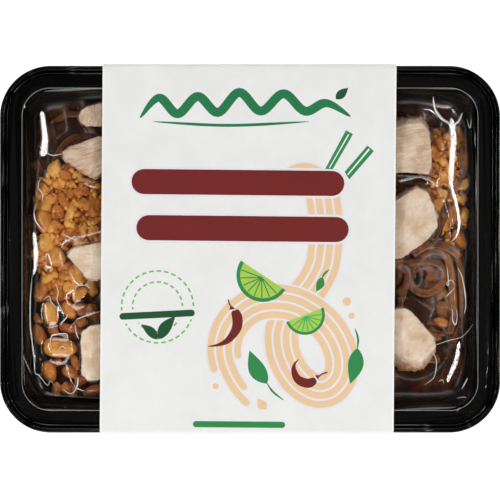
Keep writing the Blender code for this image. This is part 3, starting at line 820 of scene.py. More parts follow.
def buildChicken(name, meat):
    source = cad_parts[name]
    plane = topPlane(source.data)
    points = nodePoints(name)
    base = points[:, 2].min()
    middle = (points[:, :2].min(0) + points[:, :2].max(0)) / 2
    top = points[:, :2] @ plane[:2] + plane[2]
    level = np.clip((points[:, 2] - base) / (top - base), 0, 1)
    size = np.interp(level, (0.0, 0.14, 0.55, 0.86, 1.0), (0.78, 0.96, 1.0, 0.97, 0.82))
    wanted = np.interp(level, (0.0, 0.14, 0.55, 0.86, 1.0), (0.9, 0.97, 0.98, 0.97, chicken["topSize"]))
    points[:, :2] = middle + (points[:, :2] - middle) * (wanted / size)[:, None]
    faces = [list(face.vertices) for face in source.data.polygons]
    piece = makeObject(name.replace("chicken_", "chickenPiece"), points, faces, [meat])
    bm = bmesh.new()
    bm.from_mesh(piece.data)
    bmesh.ops.remove_doubles(bm, verts=bm.verts, dist=1e-6)
    bm.to_mesh(piece.data)
    bm.free()
    mesh = remeshed(piece, chicken["voxel"])
    points, normals = meshPoints(mesh), meshNormals(mesh)
    angle, strength = chicken["grain"][name]
    turn = math.radians(angle)
    along = points[:, 0] * math.cos(turn) + points[:, 1] * math.sin(turn)
    across = -points[:, 0] * math.sin(turn) + points[:, 1] * math.cos(turn)
    seed = ord(name[-1])
    bend = bumpy(points * 0.09, 1.0, seed) * 2.2
    grain = np.stack([along * 0.14, across + bend, points[:, 2] * 0.8], axis=1)
    top = points[:, :2] @ plane[:2] + plane[2]
    depth = np.clip((top - points[:, 2]) / 6.0, 0, 1)
    fibre = bumpy(grain * 0.75, 1.0, seed + 1) + 0.5 * bumpy(grain * 1.9, 1.0, seed + 2)
    move = chicken["lumps"] * bumpy(points, 0.16, seed + 3)
    move += chicken["grooves"] * strength * fibre
    ragged = bumpy(points, 0.42, seed + 4) + 0.9 * bumpy(points, 1.1, seed + 6)
    move += chicken["torn"] * np.clip(depth * 3, 0, 1) * ragged * 0.6
    move += 0.07 * bumpy(points, 1.1, seed + 7)
    move -= 0.35
    points = points + normals * move[:, None]
    mesh.vertices.foreach_set("co", (points * mm).astype(np.float32).ravel())
    mesh.update()
    lightness, stain = chicken["tone"][name]
    edge = np.clip((top - points[:, 2] - 1.0) / 7.0, 0, 1)
    spots = np.clip(bumpy(points, 0.3, seed + 5) * 2.4 - 0.5, 0, 1)
    soak = edge * 0.9 + 0.34 * spots + stain * 0.5
    addAttribute(piece, "grain", grain)
    addAttribute(piece, "grainStrength", np.full(len(points), 0.7 * strength ** 1.5))
    addAttribute(piece, "soak", np.clip(soak, 0, 1))
    addAttribute(piece, "lightness", np.full(len(points), lightness))
    fit(piece, "cooked_chicken", name)
    return points


contents = np.zeros_like(gridX)  # level of the highest food in each cell
bareLevel = 8.0  # a cell whose chicken level is under this has no chicken
meat = makeMeat()
for name in sorted(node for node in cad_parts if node.startswith("chicken_")):
    layOn(contents, buildChicken(name, meat))
chickenLevels = widen(contents)
contents = chickenLevels.copy()
tell("chicken")


# Whole peanuts

peanut = dict(rings=26, around=30, seam=0.055, ridges=0.022, dent=0.05, least=24.0)


def kernelShape(length, width, seed, split):  # a peanut along X, blunt at one end, with its seam
    rings, around = peanut["rings"], peanut["around"]
    points, faces = [(-length / 2, 0.0, 0.0)], []
    for ring in range(1, rings):
        t = math.pi * ring / rings
        x = -math.cos(t)
        radius = math.sin(t) ** 0.86 * (1 + 0.12 * x)
        for step in range(around):
            angle = 2 * math.pi * step / around
            seam = math.exp(-(math.sin(angle) / 0.16) ** 2)
            thick = radius * (1 - peanut["seam"] * seam * (1 if math.cos(angle) > 0 else 0.6))
            thick *= 1 + peanut["ridges"] * math.sin(9 * angle + 2.2 * x + seed)
            y, z = thick * math.cos(angle), thick * math.sin(angle)
            if split and y > 0.1:  # half a kernel: flat on one side, with a shallow hollow
                y = 0.1 - peanut["dent"] * radius
            points.append((x * length / 2, y * width / 2, z * width / 2))
    points.append((length / 2, 0.0, 0.0))
    for step in range(around):
        faces.append((0, 1 + (step + 1) % around, 1 + step))
        last = 1 + (rings - 2) * around
        faces.append((last + step, last + (step + 1) % around, len(points) - 1))
    for ring in range(rings - 2):
        low = 1 + ring * around
        for step in range(around):
            after = (step + 1) % around
            faces.append((low + step, low + after, low + around + after, low + around + step))
    points = np.array(points)
    points *= (1 + 0.09 * bumpy(points, 0.3, seed) + 0.02 * bumpy(points, 0.9, seed))[:, None]
    return points, faces


def kernelPlace(name):  # middle, length, width and direction of a CAD peanut
    points = nodePoints(name)
    middle = (points.min(0) + points.max(0)) / 2
    flat = points[:, :2] - points[:, :2].mean(0)
    _, axes = np.linalg.eigh(flat.T @ flat)
    axis = axes[:, 1]
    along = flat @ axis
    if (along ** 3).sum() < 0:
        axis, along = -axis, -along
    across = flat @ np.array([-axis[1], axis[0]])
    return middle, np.ptp(along), np.ptp(across), math.atan2(axis[1], axis[0])


def turnShape(points, roll, direction, tilt=0.0):
    turn = (Matrix.Rotation(direction, 3, "Z") @ Matrix.Rotation(tilt, 3, "Y")
            @ Matrix.Rotation(roll, 3, "X"))
    return points @ np.array(turn).T


def makeNutFinish(name, first, second, coat, roughness, bump=0.00006):
    nut = finish(name, {"Roughness": roughness, "IOR": 1.46, "Coat Weight": coat,
                        "Coat Roughness": 0.07, "Coat IOR": 1.45},
                 {"Wide Scale": 900.0, "Fine Scale": 3600.0, "Fine Share": 0.4}, bump)
    mottled(nut, {"First": first, "Second": second, "Patch Scale": 260.0, "Fine Scale": 1300.0,
                  "Fine Share": 0.3, "Low": 0.34, "High": 0.66})
    return nut


def buildPeanuts():
    golden = makeNutFinish("roastPeanut", shade(236, 172, 72), shade(202, 118, 32), 0.5, 0.36)
    amber = makeNutFinish("amberPeanut", shade(224, 146, 54), shade(178, 98, 30), 0.5, 0.36)
    brown = makeNutFinish("soakedPeanut", shade(208, 130, 54), shade(152, 80, 28), 0.5, 0.36)
    soaked = ("peanut_02", "peanut_06", "peanut_09", "peanut_10")
    names = sorted(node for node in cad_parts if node.startswith("peanut_"))
    parts, slots = [], []
    for number, name in enumerate(names):
        middle, length, width, direction = kernelPlace(name)
        split = number % 5 == 3
        points, faces = kernelShape(length * 0.98, width * 0.97, number * 1.7, split)
        roll = (-0.5 if split else 0.7) + 1.9 * math.sin(number * 2.3) * (0.25 if split else 1.0)
        points = turnShape(points, roll, direction) + middle
        parts.append((points, faces))
        slots += [1 if name in soaked or middle[0] > 60 else 2 * (number % 3 == 1)] * len(faces)
    points, faces, _ = joinParts(parts)
    points = keepInside(points)
    nuts = makeObject("wholePeanuts", points, faces, [golden, brown, amber], slots)
    fit(outward(nuts), "roast_peanut", *names)
    layOn(contents, facePoints(points, faces))
    layOn(nutHere, facePoints(points, faces))
    nutHere[:] = nutHere > peanut["least"]


# Noodles and sauce

bed = dict(level=26.0, edgeLevel=24.6, cell=1.1, relief=0.8, noodleFloor=-1.5, showing=1.3, pools=(
    # where sauce stands over the noodles: X, Y, reach, depth
    (-70.0, 43.0, 10.0, 1.6), (-78.0, 30.0, 7.0, 1.2), (63.5, -21.5, 8.0, 2.6), (66.0, -52.0, 12.0, 1.8),
    (50.0, -53.0, 10.0, 1.8), (-52.0, -20.0, 8.0, 1.4), (77.0, -44.0, 8.0, 1.4), (55.0, 14.0, 7.0, 1.0),
    (76.0, 52.0, 8.0, 1.2), (58.0, 54.0, 9.0, 1.0)))


def poolShare(x, y):
    share = np.zeros(np.shape(x))
    for middleX, middleY, reach, _ in bed["pools"]:
        share = np.maximum(share, np.exp(-(np.hypot(x - middleX, y - middleY) / reach) ** 4))
    return share


def bedLevel(x, y):
    edge = np.maximum(np.abs(x) / (tray["length"] / 2), np.abs(y) / (tray["width"] / 2))
    level = bed["level"] - (bed["level"] - bed["edgeLevel"]) * edge ** 4
    for middleX, middleY, reach, depth in bed["pools"]:
        away = np.hypot(x - middleX, y - middleY) / reach
        level = np.maximum(level, bed["level"] + depth * np.exp(-away ** 4) - 0.6 * away)
    return level


def insideDepth(x, y, halfX, halfY, corner):  # how far inside a round-cornered outline a point is
    overX = np.maximum(np.abs(x) - halfX + corner, 0)
    overY = np.maximum(np.abs(y) - halfY + corner, 0)
    deep = np.minimum(halfX - np.abs(x), halfY - np.abs(y))
    both = (overX > 0) & (overY > 0)
    return np.where(both, corner - np.hypot(overX, overY), deep)


def triangulate(ring, inner):
    count = len(ring)
    edges = [(index, (index + 1) % count) for index in range(count)]
    points = [Vector(point[:2]) for point in ring] + [Vector(point) for point in inner]
    placed, _, faces, *_ = delaunay_2d_cdt(points, edges, [], 1, 1e-5)
    return placed, faces


def buildBed():
    inset = wallInset(bed["edgeLevel"], -0.5)
    halfX, halfY = tray["length"] / 2 - inset, tray["width"] / 2 - inset
    corner = wallCorner(bed["edgeLevel"])
    brim = roundedRing(halfX, halfY, corner, 12, bed["cell"])
    count = len(brim)
    gap = -0.5  # the sauce stays this far off the tray
    rings = [(wallInset(level, gap), level) for level in (23.8, 20.0, 12.0)]
    rings += reversed(floorCurve(gap, 4))
    loops = []
    for ringInset, level in rings:
        scaleX = (tray["length"] / 2 - ringInset) / halfX
        scaleY = (tray["width"] / 2 - ringInset) / halfY
        loops.append([(x * scaleX, y * scaleY, level) for x, y in brim])
    points, faces = loftRings(loops[::-1], closeFirst=True, closeLast=False)
    points = [tuple(point) for point in points]
    top = len(points) - count
    step = bed["cell"]
    xs, ys = np.meshgrid(np.arange(-halfX, halfX, step), np.arange(-halfY, halfY, step * 0.87))
    xs = xs + (np.arange(len(xs)) % 2)[:, None] * step / 2
    keep = insideDepth(xs, ys, halfX, halfY, corner) > step * 0.6
    inner = np.stack([xs[keep], ys[keep]], axis=1)
    placed, triangles = triangulate(brim, inner)
    flat = np.array([(point.x, point.y) for point in placed[count:]])
    level = bedLevel(flat[:, 0], flat[:, 1])
    height = np.c_[flat, np.zeros(len(flat))]
    level = level + bed["relief"] * (bumpy(height, 0.16, 3.0) + 0.5 * bumpy(height, 0.42, 4.0))
    base = len(points)
    points.extend((x, y, z) for (x, y), z in zip(flat.tolist(), level.tolist()))
    for face in triangles:
        faces.append(tuple(top + index if index < count else base + index - count for index in face))
    sauce = finish("darkSauce", {"Roughness": 0.3, "IOR": 1.36, "Coat Weight": 0.1,
                                 "Coat Roughness": 0.1},
                   {"Wide Scale": 500.0, "Fine Scale": 2200.0, "Fine Share": 0.3}, 0.00004)
    mottled(sauce, {"First": shade(44, 23, 10), "Second": shade(104, 52, 19), "Patch Scale": 150.0,
                    "Fine Scale": 900.0, "Fine Share": 0.3, "Low": 0.46, "High": 0.72})
    core = outward(makeObject("sauceBed", points, faces, [sauce]))
    layOn(contents, facePoints(np.array(points[top:]), [
        [index - top for index in face] for face in faces if min(face) >= top]))
    return core


strand = dict(width=3.0, thick=1.25, step=1.2, around=8, count=44, length=190.0, level=24.6, seed=5)
# Strands seen clear through the film: the places that each passes through and how far it is lifted
laidStrands = (
    (((48.0, -8.5), (54.2, -6.6), (59.6, -5.2), (65.5, -4.6), (70.6, -5.6), (73.2, -8.6), (72.4, -12.2),
      (69.6, -15.2), (65.8, -16.6), (61.8, -15.2), (59.9, -11.9), (60.4, -7.6), (63.6, -3.2),
      (68.4, -0.6), (73.6, -1.6)), 1.4),
    (((46.0, 0.0), (54.8, -2.0), (56.2, -8.0), (55.6, -14.0), (56.2, -21.5), (53.0, -28.0)), 0.8),
    (((50.0, -3.0), (58.6, -8.0), (58.2, -14.0), (55.0, -17.0)), 0.5),
    (((70.0, 2.0), (73.4, -2.0), (75.2, -8.5), (76.0, -16.0), (76.6, -24.0), (75.0, -32.0)), 1.0),
    (((76.0, 1.0), (78.4, -5.0), (79.4, -12.0), (79.8, -20.0), (79.2, -28.0), (76.0, -35.0)), 1.0),
    (((77.0, 46.0), (79.4, 41.0), (80.3, 34.0), (79.8, 26.6), (78.2, 20.6)), 3.6),
    (((78.4, 27.0), (75.8, 21.0), (73.6, 14.8), (71.4, 9.4), (69.0, 3.0)), 3.4),
    (((61.0, -2.0), (64.6, 0.6), (69.4, 1.8), (74.4, 0.4), (78.8, -3.0)), 1.2),
    (((-79.0, 38.0), (-75.4, 45.0), (-70.6, 49.4), (-65.0, 50.6), (-60.0, 49.0)), -0.35),
    (((-74.0, 30.0), (-72.0, 36.0), (-67.6, 41.0), (-62.0, 42.4), (-56.0, 41.0)), -0.4),
    (((-81.0, 33.0), (-78.0, 28.6), (-73.4, 27.0), (-68.0, 28.2)), -0.1))


def wanderingPath(rng, halfX, halfY):
    x, y = rng.uniform(-halfX, halfX), rng.uniform(-halfY, halfY)
    heading, turn = rng.uniform(0, 2 * math.pi), 0.0
    path = []
    for _ in range(int(strand["length"] / strand["step"])):
        path.append((x, y))
        turn = turn * 0.93 + rng.normal(0, 0.035)
        edge = min(halfX - abs(x), halfY - abs(y))
        if edge < 12:
            home = math.atan2(-y, -x)
            off = (home - heading + math.pi) % (2 * math.pi) - math.pi
            turn += 0.05 * (1 - edge / 12) * (1 if off > 0 else -1)
        heading += max(-0.19, min(0.19, turn))
        x += math.cos(heading) * strand["step"]
        y += math.sin(heading) * strand["step"]
        x = max(-halfX, min(halfX, x))
        y = max(-halfY, min(halfY, y))
    return np.array(path)


def evenPath(path, step):
    path = np.array(path, float)
    passed = np.r_[0, np.cumsum(np.linalg.norm(np.diff(path, axis=0), axis=1))]
    count = max(4, int(passed[-1] / step))
    wanted = np.linspace(0, passed[-1], count)
    return np.stack([np.interp(wanted, passed, path[:, 0]), np.interp(wanted, passed, path[:, 1])], axis=1)


def ribbon(path, heights, width, thick, twist):  # a flat noodle along a path
    centre = np.c_[path, heights]
    along = np.gradient(centre, axis=0)
    along /= np.linalg.norm(along, axis=1)[:, None] + 1e-9
    side = np.cross(np.array([0.0, 0.0, 1.0]), along)
    side /= np.linalg.norm(side, axis=1)[:, None] + 1e-9
    up = np.cross(along, side)
    around = strand["around"]
    points = []
    for step in range(around):
        angle = 2 * math.pi * (step + 0.5) / around
        y = math.copysign(abs(math.cos(angle)) ** 0.75, math.cos(angle)) * width / 2
        z = math.copysign(abs(math.sin(angle)) ** 0.75, math.sin(angle)) * thick / 2
        turnedY = y * np.cos(twist) - z * np.sin(twist)
        turnedZ = y * np.sin(twist) + z * np.cos(twist)
        points.append(centre + side * turnedY[:, None] + up * turnedZ[:, None])
    rings = np.stack(points, axis=1).tolist()
    allPoints, faces = loftRings(rings)
    return np.array(allPoints), faces


def layStrand(levels, path, lift, rng, parts, sunk=False):
    path = evenPath(path, strand["step"])
    along = np.gradient(path, axis=0)
    along /= np.linalg.norm(along, axis=1)[:, None] + 1e-9
    across = np.stack([-along[:, 1], along[:, 0]], axis=1)
    highest = np.full(len(path), -1e9)
    for shift in (-1.0, -0.4, 0.4, 1.0):
        at = path + across * shift
        highest = np.maximum(highest, levels[fieldCells(at[:, 0], at[:, 1])])
    smooth = np.convolve(np.pad(highest, 4, mode="edge"), np.ones(9) / 9, mode="valid")
    heights = np.maximum(smooth, highest - 0.25) + strand["thick"] * 0.32 + lift
    heights = np.convolve(np.pad(heights, 2, mode="edge"), np.ones(5) / 5, mode="valid")
    if sunk:  # under the sauce where it stands deep, and never far above it
        share = poolShare(path[:, 0], path[:, 1])
        most = bedLevel(path[:, 0], path[:, 1]) + bed["showing"] - (bed["showing"] + 1.5) * share
        heights = np.minimum(heights, most)
    wave = rng.uniform(0, 6.28)
    twist = 0.28 * np.sin(np.arange(len(path)) * 0.11 + wave)
    width = strand["width"] * rng.uniform(0.88, 1.1)
    points, faces = ribbon(path, heights, width, strand["thick"], twist)
    parts.append((points, faces))
    layOn(levels, facePoints(points, faces))


def buildNoodles(core):
    rng = np.random.default_rng(strand["seed"])
    levels = np.full_like(gridX, bed["level"] + bed["noodleFloor"])
    parts = []
    halfX = tray["length"] / 2 - wallInset(27) - 3.2
    halfY = tray["width"] / 2 - wallInset(27) - 3.2
    for _ in range(strand["count"]):
        layStrand(levels, wanderingPath(rng, halfX, halfY), 0.0, rng, parts, True)
    levels = np.maximum(levels, bedLevel(gridX, gridY) - 0.4)
    for path, lift in laidStrands:
        layStrand(levels, smoothPath(path, 12), lift, rng, parts)
    points, faces, owner = joinParts(parts)
    points = keepInside(points)
    rice = finish("sauceNoodle", {"Roughness": 0.36, "IOR": 1.38, "Coat Weight": 0.15,
                                  "Coat Roughness": 0.1},
                  {"Wide Scale": 700.0, "Fine Scale": 2600.0, "Fine Share": 0.3}, 0.00003)
    mottled(rice, {"First": shade(150, 96, 54), "Second": shade(78, 34, 10), "Patch Scale": 95.0,
                   "Fine Scale": 700.0, "Fine Share": 0.3, "Low": 0.38, "High": 0.62})
    dark = finish("soakedNoodle", {"Roughness": 0.36, "IOR": 1.38, "Coat Weight": 0.1})
    mottled(dark, {"First": shade(112, 62, 28), "Second": shade(58, 30, 14), "Patch Scale": 120.0,
                   "Fine Scale": 700.0, "Fine Share": 0.3, "Low": 0.38, "High": 0.62})
    sunk = [number >= strand["count"] and laidStrands[number - strand["count"]][1] < 0
            for number in owner[[face[0] for face in faces]].tolist()]
    strands = outward(makeObject("riceNoodles", points, faces, [rice, dark], sunk))
    print("noodle triangles", sum(len(face) - 2 for face in faces), "top", points[:, 2].max())
    fit(core, "sauced_noodles", "noodle_bed")
    fit(strands, "sauced_noodles", "noodle_bed")
    layOn(contents, facePoints(points, faces))


core = buildBed()
tell("sauce bed")
buildNoodles(core)
tell("noodles")
nutHere = np.zeros_like(gridX)  # cells that a whole peanut covers
buildPeanuts()
tell("peanuts")


# Crushed peanut

crush = dict(
    seed=11, tries=5000, reach=1.2, least=20.0, crumbly=0.0003,
    # layers of bits from the heap's core up: spacing, sizes, how far their middles lie under the surface,
    # and 1 for finely shaped ones
    heaps=dict(
        crushed_peanut_left=(
            (2.9, (3.0, 4.0), 3.0, 0), (4.0, (2.4, 4.2), 1.0, 1), (1.9, (0.6, 1.7), 0.1, 0)),
        crushed_peanut_right=(
            (2.6, (2.6, 3.4), 2.6, 0), (3.3, (1.8, 3.1), 0.7, 1), (1.6, (0.5, 1.4), 0.0, 0))),
    # broken bits that lie loose in the left window
    loose=dict(middle=(-66.0, -40.0), reach=(15.5, 18.0), tries=420, sizes=(1.8, 3.8), top=30.0))


def chunkShape(rng, radius, fine):  # a broken bit: round outside with a few flat broken faces
    bm = bmesh.new()
    bmesh.ops.create_icosphere(bm, subdivisions=3 if fine else 2, radius=1.0)
    points = np.array([tuple(vert.co) for vert in bm.verts])
    faces = [[vert.index for vert in face.verts] for face in bm.faces]
    bm.free()
    for _ in range(rng.integers(2, 5)):
        facing = rng.normal(size=3)
        facing /= np.linalg.norm(facing)
        cut = rng.uniform(0.35, 0.8)
        over = np.maximum(points @ facing - cut, 0)
        points -= over[:, None] * facing * 0.94
    seed = rng.uniform(0, 50)
    points *= (1 + 0.22 * bumpy(points, 1.1, seed) + 0.16 * bumpy(points, 2.9, seed))[:, None]
    points *= rng.uniform((1.0, 0.72, 0.55), (1.3, 1.0, 0.85)) * radius
    return turnShape(points, rng.uniform(0, 6.28), rng.uniform(0, 6.28), rng.uniform(-0.4, 0.4)), faces


def heapLevel(name):  # level of the heap's top over the field, and -1 off the heap
    points = nodePoints(name)
    tree = BVHTree.FromPolygons([tuple(point) for point in points],
                                [list(face.vertices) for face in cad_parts[name].data.polygons])
    level = np.full_like(gridX, -1.0)
    low, high = points.min(0), points.max(0)
    over = (gridX > low[0]) & (gridX < high[0]) & (gridY > low[1]) & (gridY < high[1])
    above, down = 100.0, Vector((0, 0, -1))  # from well over the pack
    rows, columns = np.nonzero(over)
    for row, column in zip(rows.tolist(), columns.tolist()):
        place, *_ = tree.ray_cast(Vector((gridX[row, column], gridY[row, column], above)), down)
        if place is not None:
            level[row, column] = place.z
    return level


def heapBits(rng, name, parts, slots):  # bits of all sizes in layers, out to the heap's surface
    surface = heapLevel(name)
    rows, columns = np.nonzero((surface > crush["least"]) & (chickenLevels < bareLevel))
    cross = crush["reach"] * np.array([(0, 0), (1, 0), (-1, 0), (0, 1), (0, -1)])
    for number, (spacing, sizes, depth, fine) in enumerate(crush["heaps"][name]):
        taken = np.zeros((0, 2))
        for pick in rng.permutation(len(rows))[:crush["tries"]]:
            row, column = rows[pick], columns[pick]
            at = np.array([gridX[row, column], gridY[row, column]])
            if len(taken) and np.hypot(*(taken - at).T).min() < spacing:
                continue
            taken = np.r_[taken, at[None]]
            if number and nutHere[fieldCells(*(at + cross).T)].any():
                continue
            points, faces = chunkShape(rng, rng.uniform(*sizes), fine)
            points += (*at, surface[row, column] - depth + rng.uniform(-0.5, 0.5))
            parts.append((points, faces))
            slot = 2 if number == 0 and rng.random() < 0.5 else int(rng.random() < 0.4)
            slots.extend([slot] * len(faces))
            layOn(contents, facePoints(points, faces))


def looseBits(rng, parts, slots):  # single bits laid onto what is there, where there is room
    loose = crush["loose"]
    around = np.array([(0, 0)] + [(math.cos(a), math.sin(a)) for a in np.arange(0, 6.2, 0.785)])
    for _ in range(loose["tries"]):
        x = loose["middle"][0] + rng.uniform(-1, 1) * loose["reach"][0]
        y = loose["middle"][1] + rng.uniform(-1, 1) * loose["reach"][1]
        radius = rng.uniform(*loose["sizes"])
        points, faces = chunkShape(rng, radius, True)
        cells = fieldCells(*(around * radius * 0.6 + (x, y)).T)
        if nutHere[cells].mean() > 0.2 or chickenLevels[cells].mean() > bareLevel:
            continue
        if contents[cells].min() < crush["least"]:
            continue
        points[:, 2] += np.percentile(contents[cells], 70) - points[:, 2].min() * 0.55
        points[:, :2] += (x, y)
        if points[:, 2].max() > loose["top"]:
            continue
        parts.append((points, faces))
        layOn(contents, facePoints(points, faces))
        slots.extend([int(rng.integers(1, 3))] * len(faces))


def buildCrushed():
    rng = np.random.default_rng(crush["seed"])
    crumbly = crush["crumbly"]
    gold = makeNutFinish("crushedGold", shade(250, 194, 96), shade(202, 114, 32), 0.1, 0.5, crumbly)
    amber = makeNutFinish("crushedAmber", shade(226, 144, 52), shade(162, 84, 24), 0.1, 0.5, crumbly)
    soaked = makeNutFinish("crushedSoaked", shade(204, 126, 52), shade(148, 78, 26), 0.4, 0.36)
    for name, title in (("crushed_peanut_left", "crushedPeanutLeft"),
                        ("crushed_peanut_right", "crushedPeanutRight")):
        parts, slots = [], []
        heapBits(rng, name, parts, slots)
        if name == "crushed_peanut_left":
            looseBits(rng, parts, slots)
        points, faces, _ = joinParts(parts)
        heapPiece = makeObject(title, keepInside(points), faces, [gold, amber, soaked], slots)
        fit(heapPiece, "crushed_peanut", name)


buildCrushed()
tell("crushed peanut")


# Film

film = dict(
    thick=0.14, edgeInset=3.6, under=36.95, pull=0.3, clear=0.3, spread=3, soften=14,
    fineX=54.0, fineStep=0.5, coarseStep=2.6, rows=0.5, rounds=(500, 500, 600),
    # rimHighlightLine: half thickness of the painted highlight line round the rim
    glossLimit=0.1, rimHighlightLine=0.045,
    lean=math.radians(19.6),  # slope that mirrors a side lamp to a viewer above
    dull=((42.0, 90.0, -62.0, 6.0), (-90.0, -40.0, 26.0, 62.0)))  # X and Y ranges where it shines little
film["tilt"] = math.tan(film["lean"])
# Creases drawn as tubes painted white, as the film's highlight lines: X and Y along each, and its half
# thickness in the middle
filmCreaseHighlights = (
    (((-76.9, 36.6), (-74.1, 35.2), (-70.3, 35.6)), 0.22),
    (((-84.2, 53.9), (-83.4, 48.3), (-83.8, 42.7)), 0.3),
    (((-81.5, -10.0), (-81.9, -14.5), (-82.2, -19.0), (-82.2, -28.3), (-81.8, -32.4), (-80.8, -40.9),
      (-80.4, -46.2), (-79.1, -47.2), (-75.9, -51.0), (-74.9, -49.3), (-73.2, -51.2)), 0.27),
    (((-80.6, -54.4), (-78.5, -57.1), (-75.5, -58.5), (-71.3, -57.9)), 0.34),
    (((-69.9, -52.5), (-68.1, -53.9), (-66.2, -53.8), (-64.7, -51.1), (-64.3, -47.8)), 0.26),
    (((-65.1, -26.3), (-61.7, -25.0), (-55.8, -23.2)), 0.24),
    (((-65.5, -28.0), (-65.1, -30.9), (-64.0, -33.6)), 0.2),
    (((-77.0, 6.5), (-80.0, 10.2), (-80.8, 13.9), (-80.0, 16.2)), 0.2),
    (((-78.4, 27.0), (-79.4, 23.4), (-77.6, 20.6), (-78.0, 17.6)), 0.17),
    (((-70.3, 5.7), (-64.3, 3.1)), 0.17), (((-68.8, 3.1), (-65.1, 5.0)), 0.17),
    (((-71.8, 1.2), (-67.3, 3.5)), 0.15),
    (((-74.6, -35.8), (-74.4, -32.8), (-72.6, -31.9), (-68.8, -31.7), (-68.1, -34.3)), 0.2),
    (((-71.8, -37.7), (-70.3, -36.2), (-68.8, -37.3)), 0.17),
    (((-65.5, -15.6), (-64.7, -13.7), (-61.3, -13.6)), 0.17),
    (((-77.4, -19.0), (-75.2, -17.5), (-74.4, -19.7), (-72.2, -22.3)), 0.18),
    (((-71.1, -28.0), (-68.8, -25.7), (-68.4, -24.2)), 0.2),
    (((-72.9, -12.6), (-71.8, -16.0), (-72.2, -19.0), (-70.7, -22.3), (-69.6, -24.2)), 0.17),
    (((68.6, 57.0), (68.8, 55.1), (69.6, 52.1), (71.8, 49.1), (74.2, 47.4), (75.4, 45.0)), 0.5),
    (((79.5, 51.0), (78.2, 48.0), (76.6, 46.6), (75.8, 44.0)), 0.5),
    (((81.2, 48.7), (82.3, 45.3), (83.0, 52.1)), 0.16), (((83.4, 53.9), (84.2, 49.8)), 0.26),
    (((75.4, 23.0), (76.7, 18.4), (77.8, 13.2), (78.2, 9.1), (77.4, 5.3), (75.2, 2.7)), 0.32),
    (((73.7, -6.3), (74.4, -13.4), (73.7, -12.6), (75.5, -11.5), (76.7, -13.4)), 0.17),
    (((77.8, -7.0), (79.3, -10.0), (80.4, -15.2), (80.8, -20.9), (80.2, -24.2)), 0.24),
    (((74.8, -22.3), (75.9, -23.1), (75.9, -26.5), (77.0, -28.3), (77.6, -25.7), (77.4, -22.3)), 0.17),
    (((73.3, -17.9), (75.2, -16.0), (76.7, -14.5)), 0.16),
    (((63.6, -37.9), (69.2, -35.8), (74.8, -34.1), (79.7, -32.6), (83.4, -28.0)), 0.12),
    (((65.5, -38.4), (68.1, -38.8), (69.6, -41.0), (69.8, -44.4), (68.8, -48.2), (65.5, -50.8)), 0.15),
    (((81.5, -48.2), (80.4, -50.4), (79.3, -52.3)), 0.3),
    (((77.4, -55.6), (80.8, -55.4), (78.9, -57.9), (77.2, -60.5)), 0.17),
    (((70.7, -49.6), (72.2, -48.9), (72.6, -50.4)), 0.16),
    (((64.3, 26.6), (66.9, 25.9), (68.8, 24.4), (67.3, 22.9)), 0.14))
# Folds drawn tight between the food: X, Y and width along each, the side that it faces, its least level
filmFolds = (
    (((75.4, 48.5, 2.8), (75.9, 40.9, 2.7), (75.5, 33.4, 2.4), (75.0, 26.6, 2.0), (75.5, 22.2, 1.6),
      (76.7, 18.4, 1.4), (77.8, 13.2, 1.2), (78.2, 9.1, 1.1), (77.4, 5.3, 1.0)), -1, 31.0),
    (((-77.8, 51.2, 2.0), (-77.0, 44.6, 2.3), (-76.7, 40.9, 2.6), (-77.4, 35.6, 3.4)), 1, 31.4),
    (((-80.8, 6.0, 1.4), (-80.2, 1.6, 1.8), (-80.0, -2.5, 2.0), (-80.4, -7.0, 1.4), (-81.5, -10.0, 1.0)),
     1, 32.6),
    (((78.2, -35.1, 1.2), (77.8, -38.4, 1.6), (77.0, -42.2, 2.0), (75.5, -45.9, 2.0), (74.1, -48.9, 1.4)),
     -1, 31.2),
    (((-80.8, -39.9, 1.2), (-80.4, -47.2, 1.6)), 1, 32.4))


def settle(levels, floorLevels, fixed, cell, rounds):
    sag = cell * cell * film["pull"] / 4
    for _ in range(rounds):
        mean = (levels[:-2, 1:-1] + levels[2:, 1:-1] + levels[1:-1, :-2] + levels[1:-1, 2:]) / 4 - sag
        mean = np.maximum(mean, floorLevels[1:-1, 1:-1])
        levels[1:-1, 1:-1] = np.where(fixed[1:-1, 1:-1], levels[1:-1, 1:-1], mean)
    return levels


def soften(levels, times):
    for _ in range(times):
        padded = np.pad(levels, 1, mode="edge")
        levels = (padded[1:-1, :-2] + 2 * padded[1:-1, 1:-1] + padded[1:-1, 2:]) / 4
        padded = np.pad(levels, 1, mode="edge")
        levels = (padded[:-2, 1:-1] + 2 * padded[1:-1, 1:-1] + padded[2:, 1:-1]) / 4
    return levels


def addFold(levels, lowest, points, facing, least):  # a narrow even slope along a line that runs along Y
    points = points[np.argsort(points[:, 1])]
    rows = np.nonzero((fieldY > points[0, 1]) & (fieldY < points[-1, 1]))[0]
    y = fieldY[rows]
    middle, width = np.interp(y, points[:, 1], points[:, 0]), np.interp(y, points[:, 1], points[:, 2])
    off = fieldX[None] - middle[:, None]
    rise = facing * film["tilt"] * np.clip(off, -width[:, None] / 2, width[:, None] / 2)
    close = np.abs(off) < width[:, None] / 2 + 0.6
    level = np.where(close, lowest[rows] - rise, -1e9).max(axis=1) + 0.1
    level = np.maximum(np.maximum(level, fieldAt(levels, middle, y)), least)
    level = np.array([level[max(0, at - 14):at + 15].max() for at in range(len(level))])
    level = np.convolve(np.pad(level, 14, mode="edge"), np.ones(29) / 29, mode="valid")
    share = np.clip((width[:, None] / 2 + 2.4 - np.abs(off)) / 2.4, 0, 1)
    share = share * share * (3 - 2 * share)
    share *= np.clip(np.minimum(y - y[0], y[-1] - y) / 2.0, 0, 1)[:, None]
    levels = levels.copy()
    levels[rows] = np.maximum(levels[rows] * (1 - share) + (level[:, None] + rise) * share, lowest[rows])
    return levels


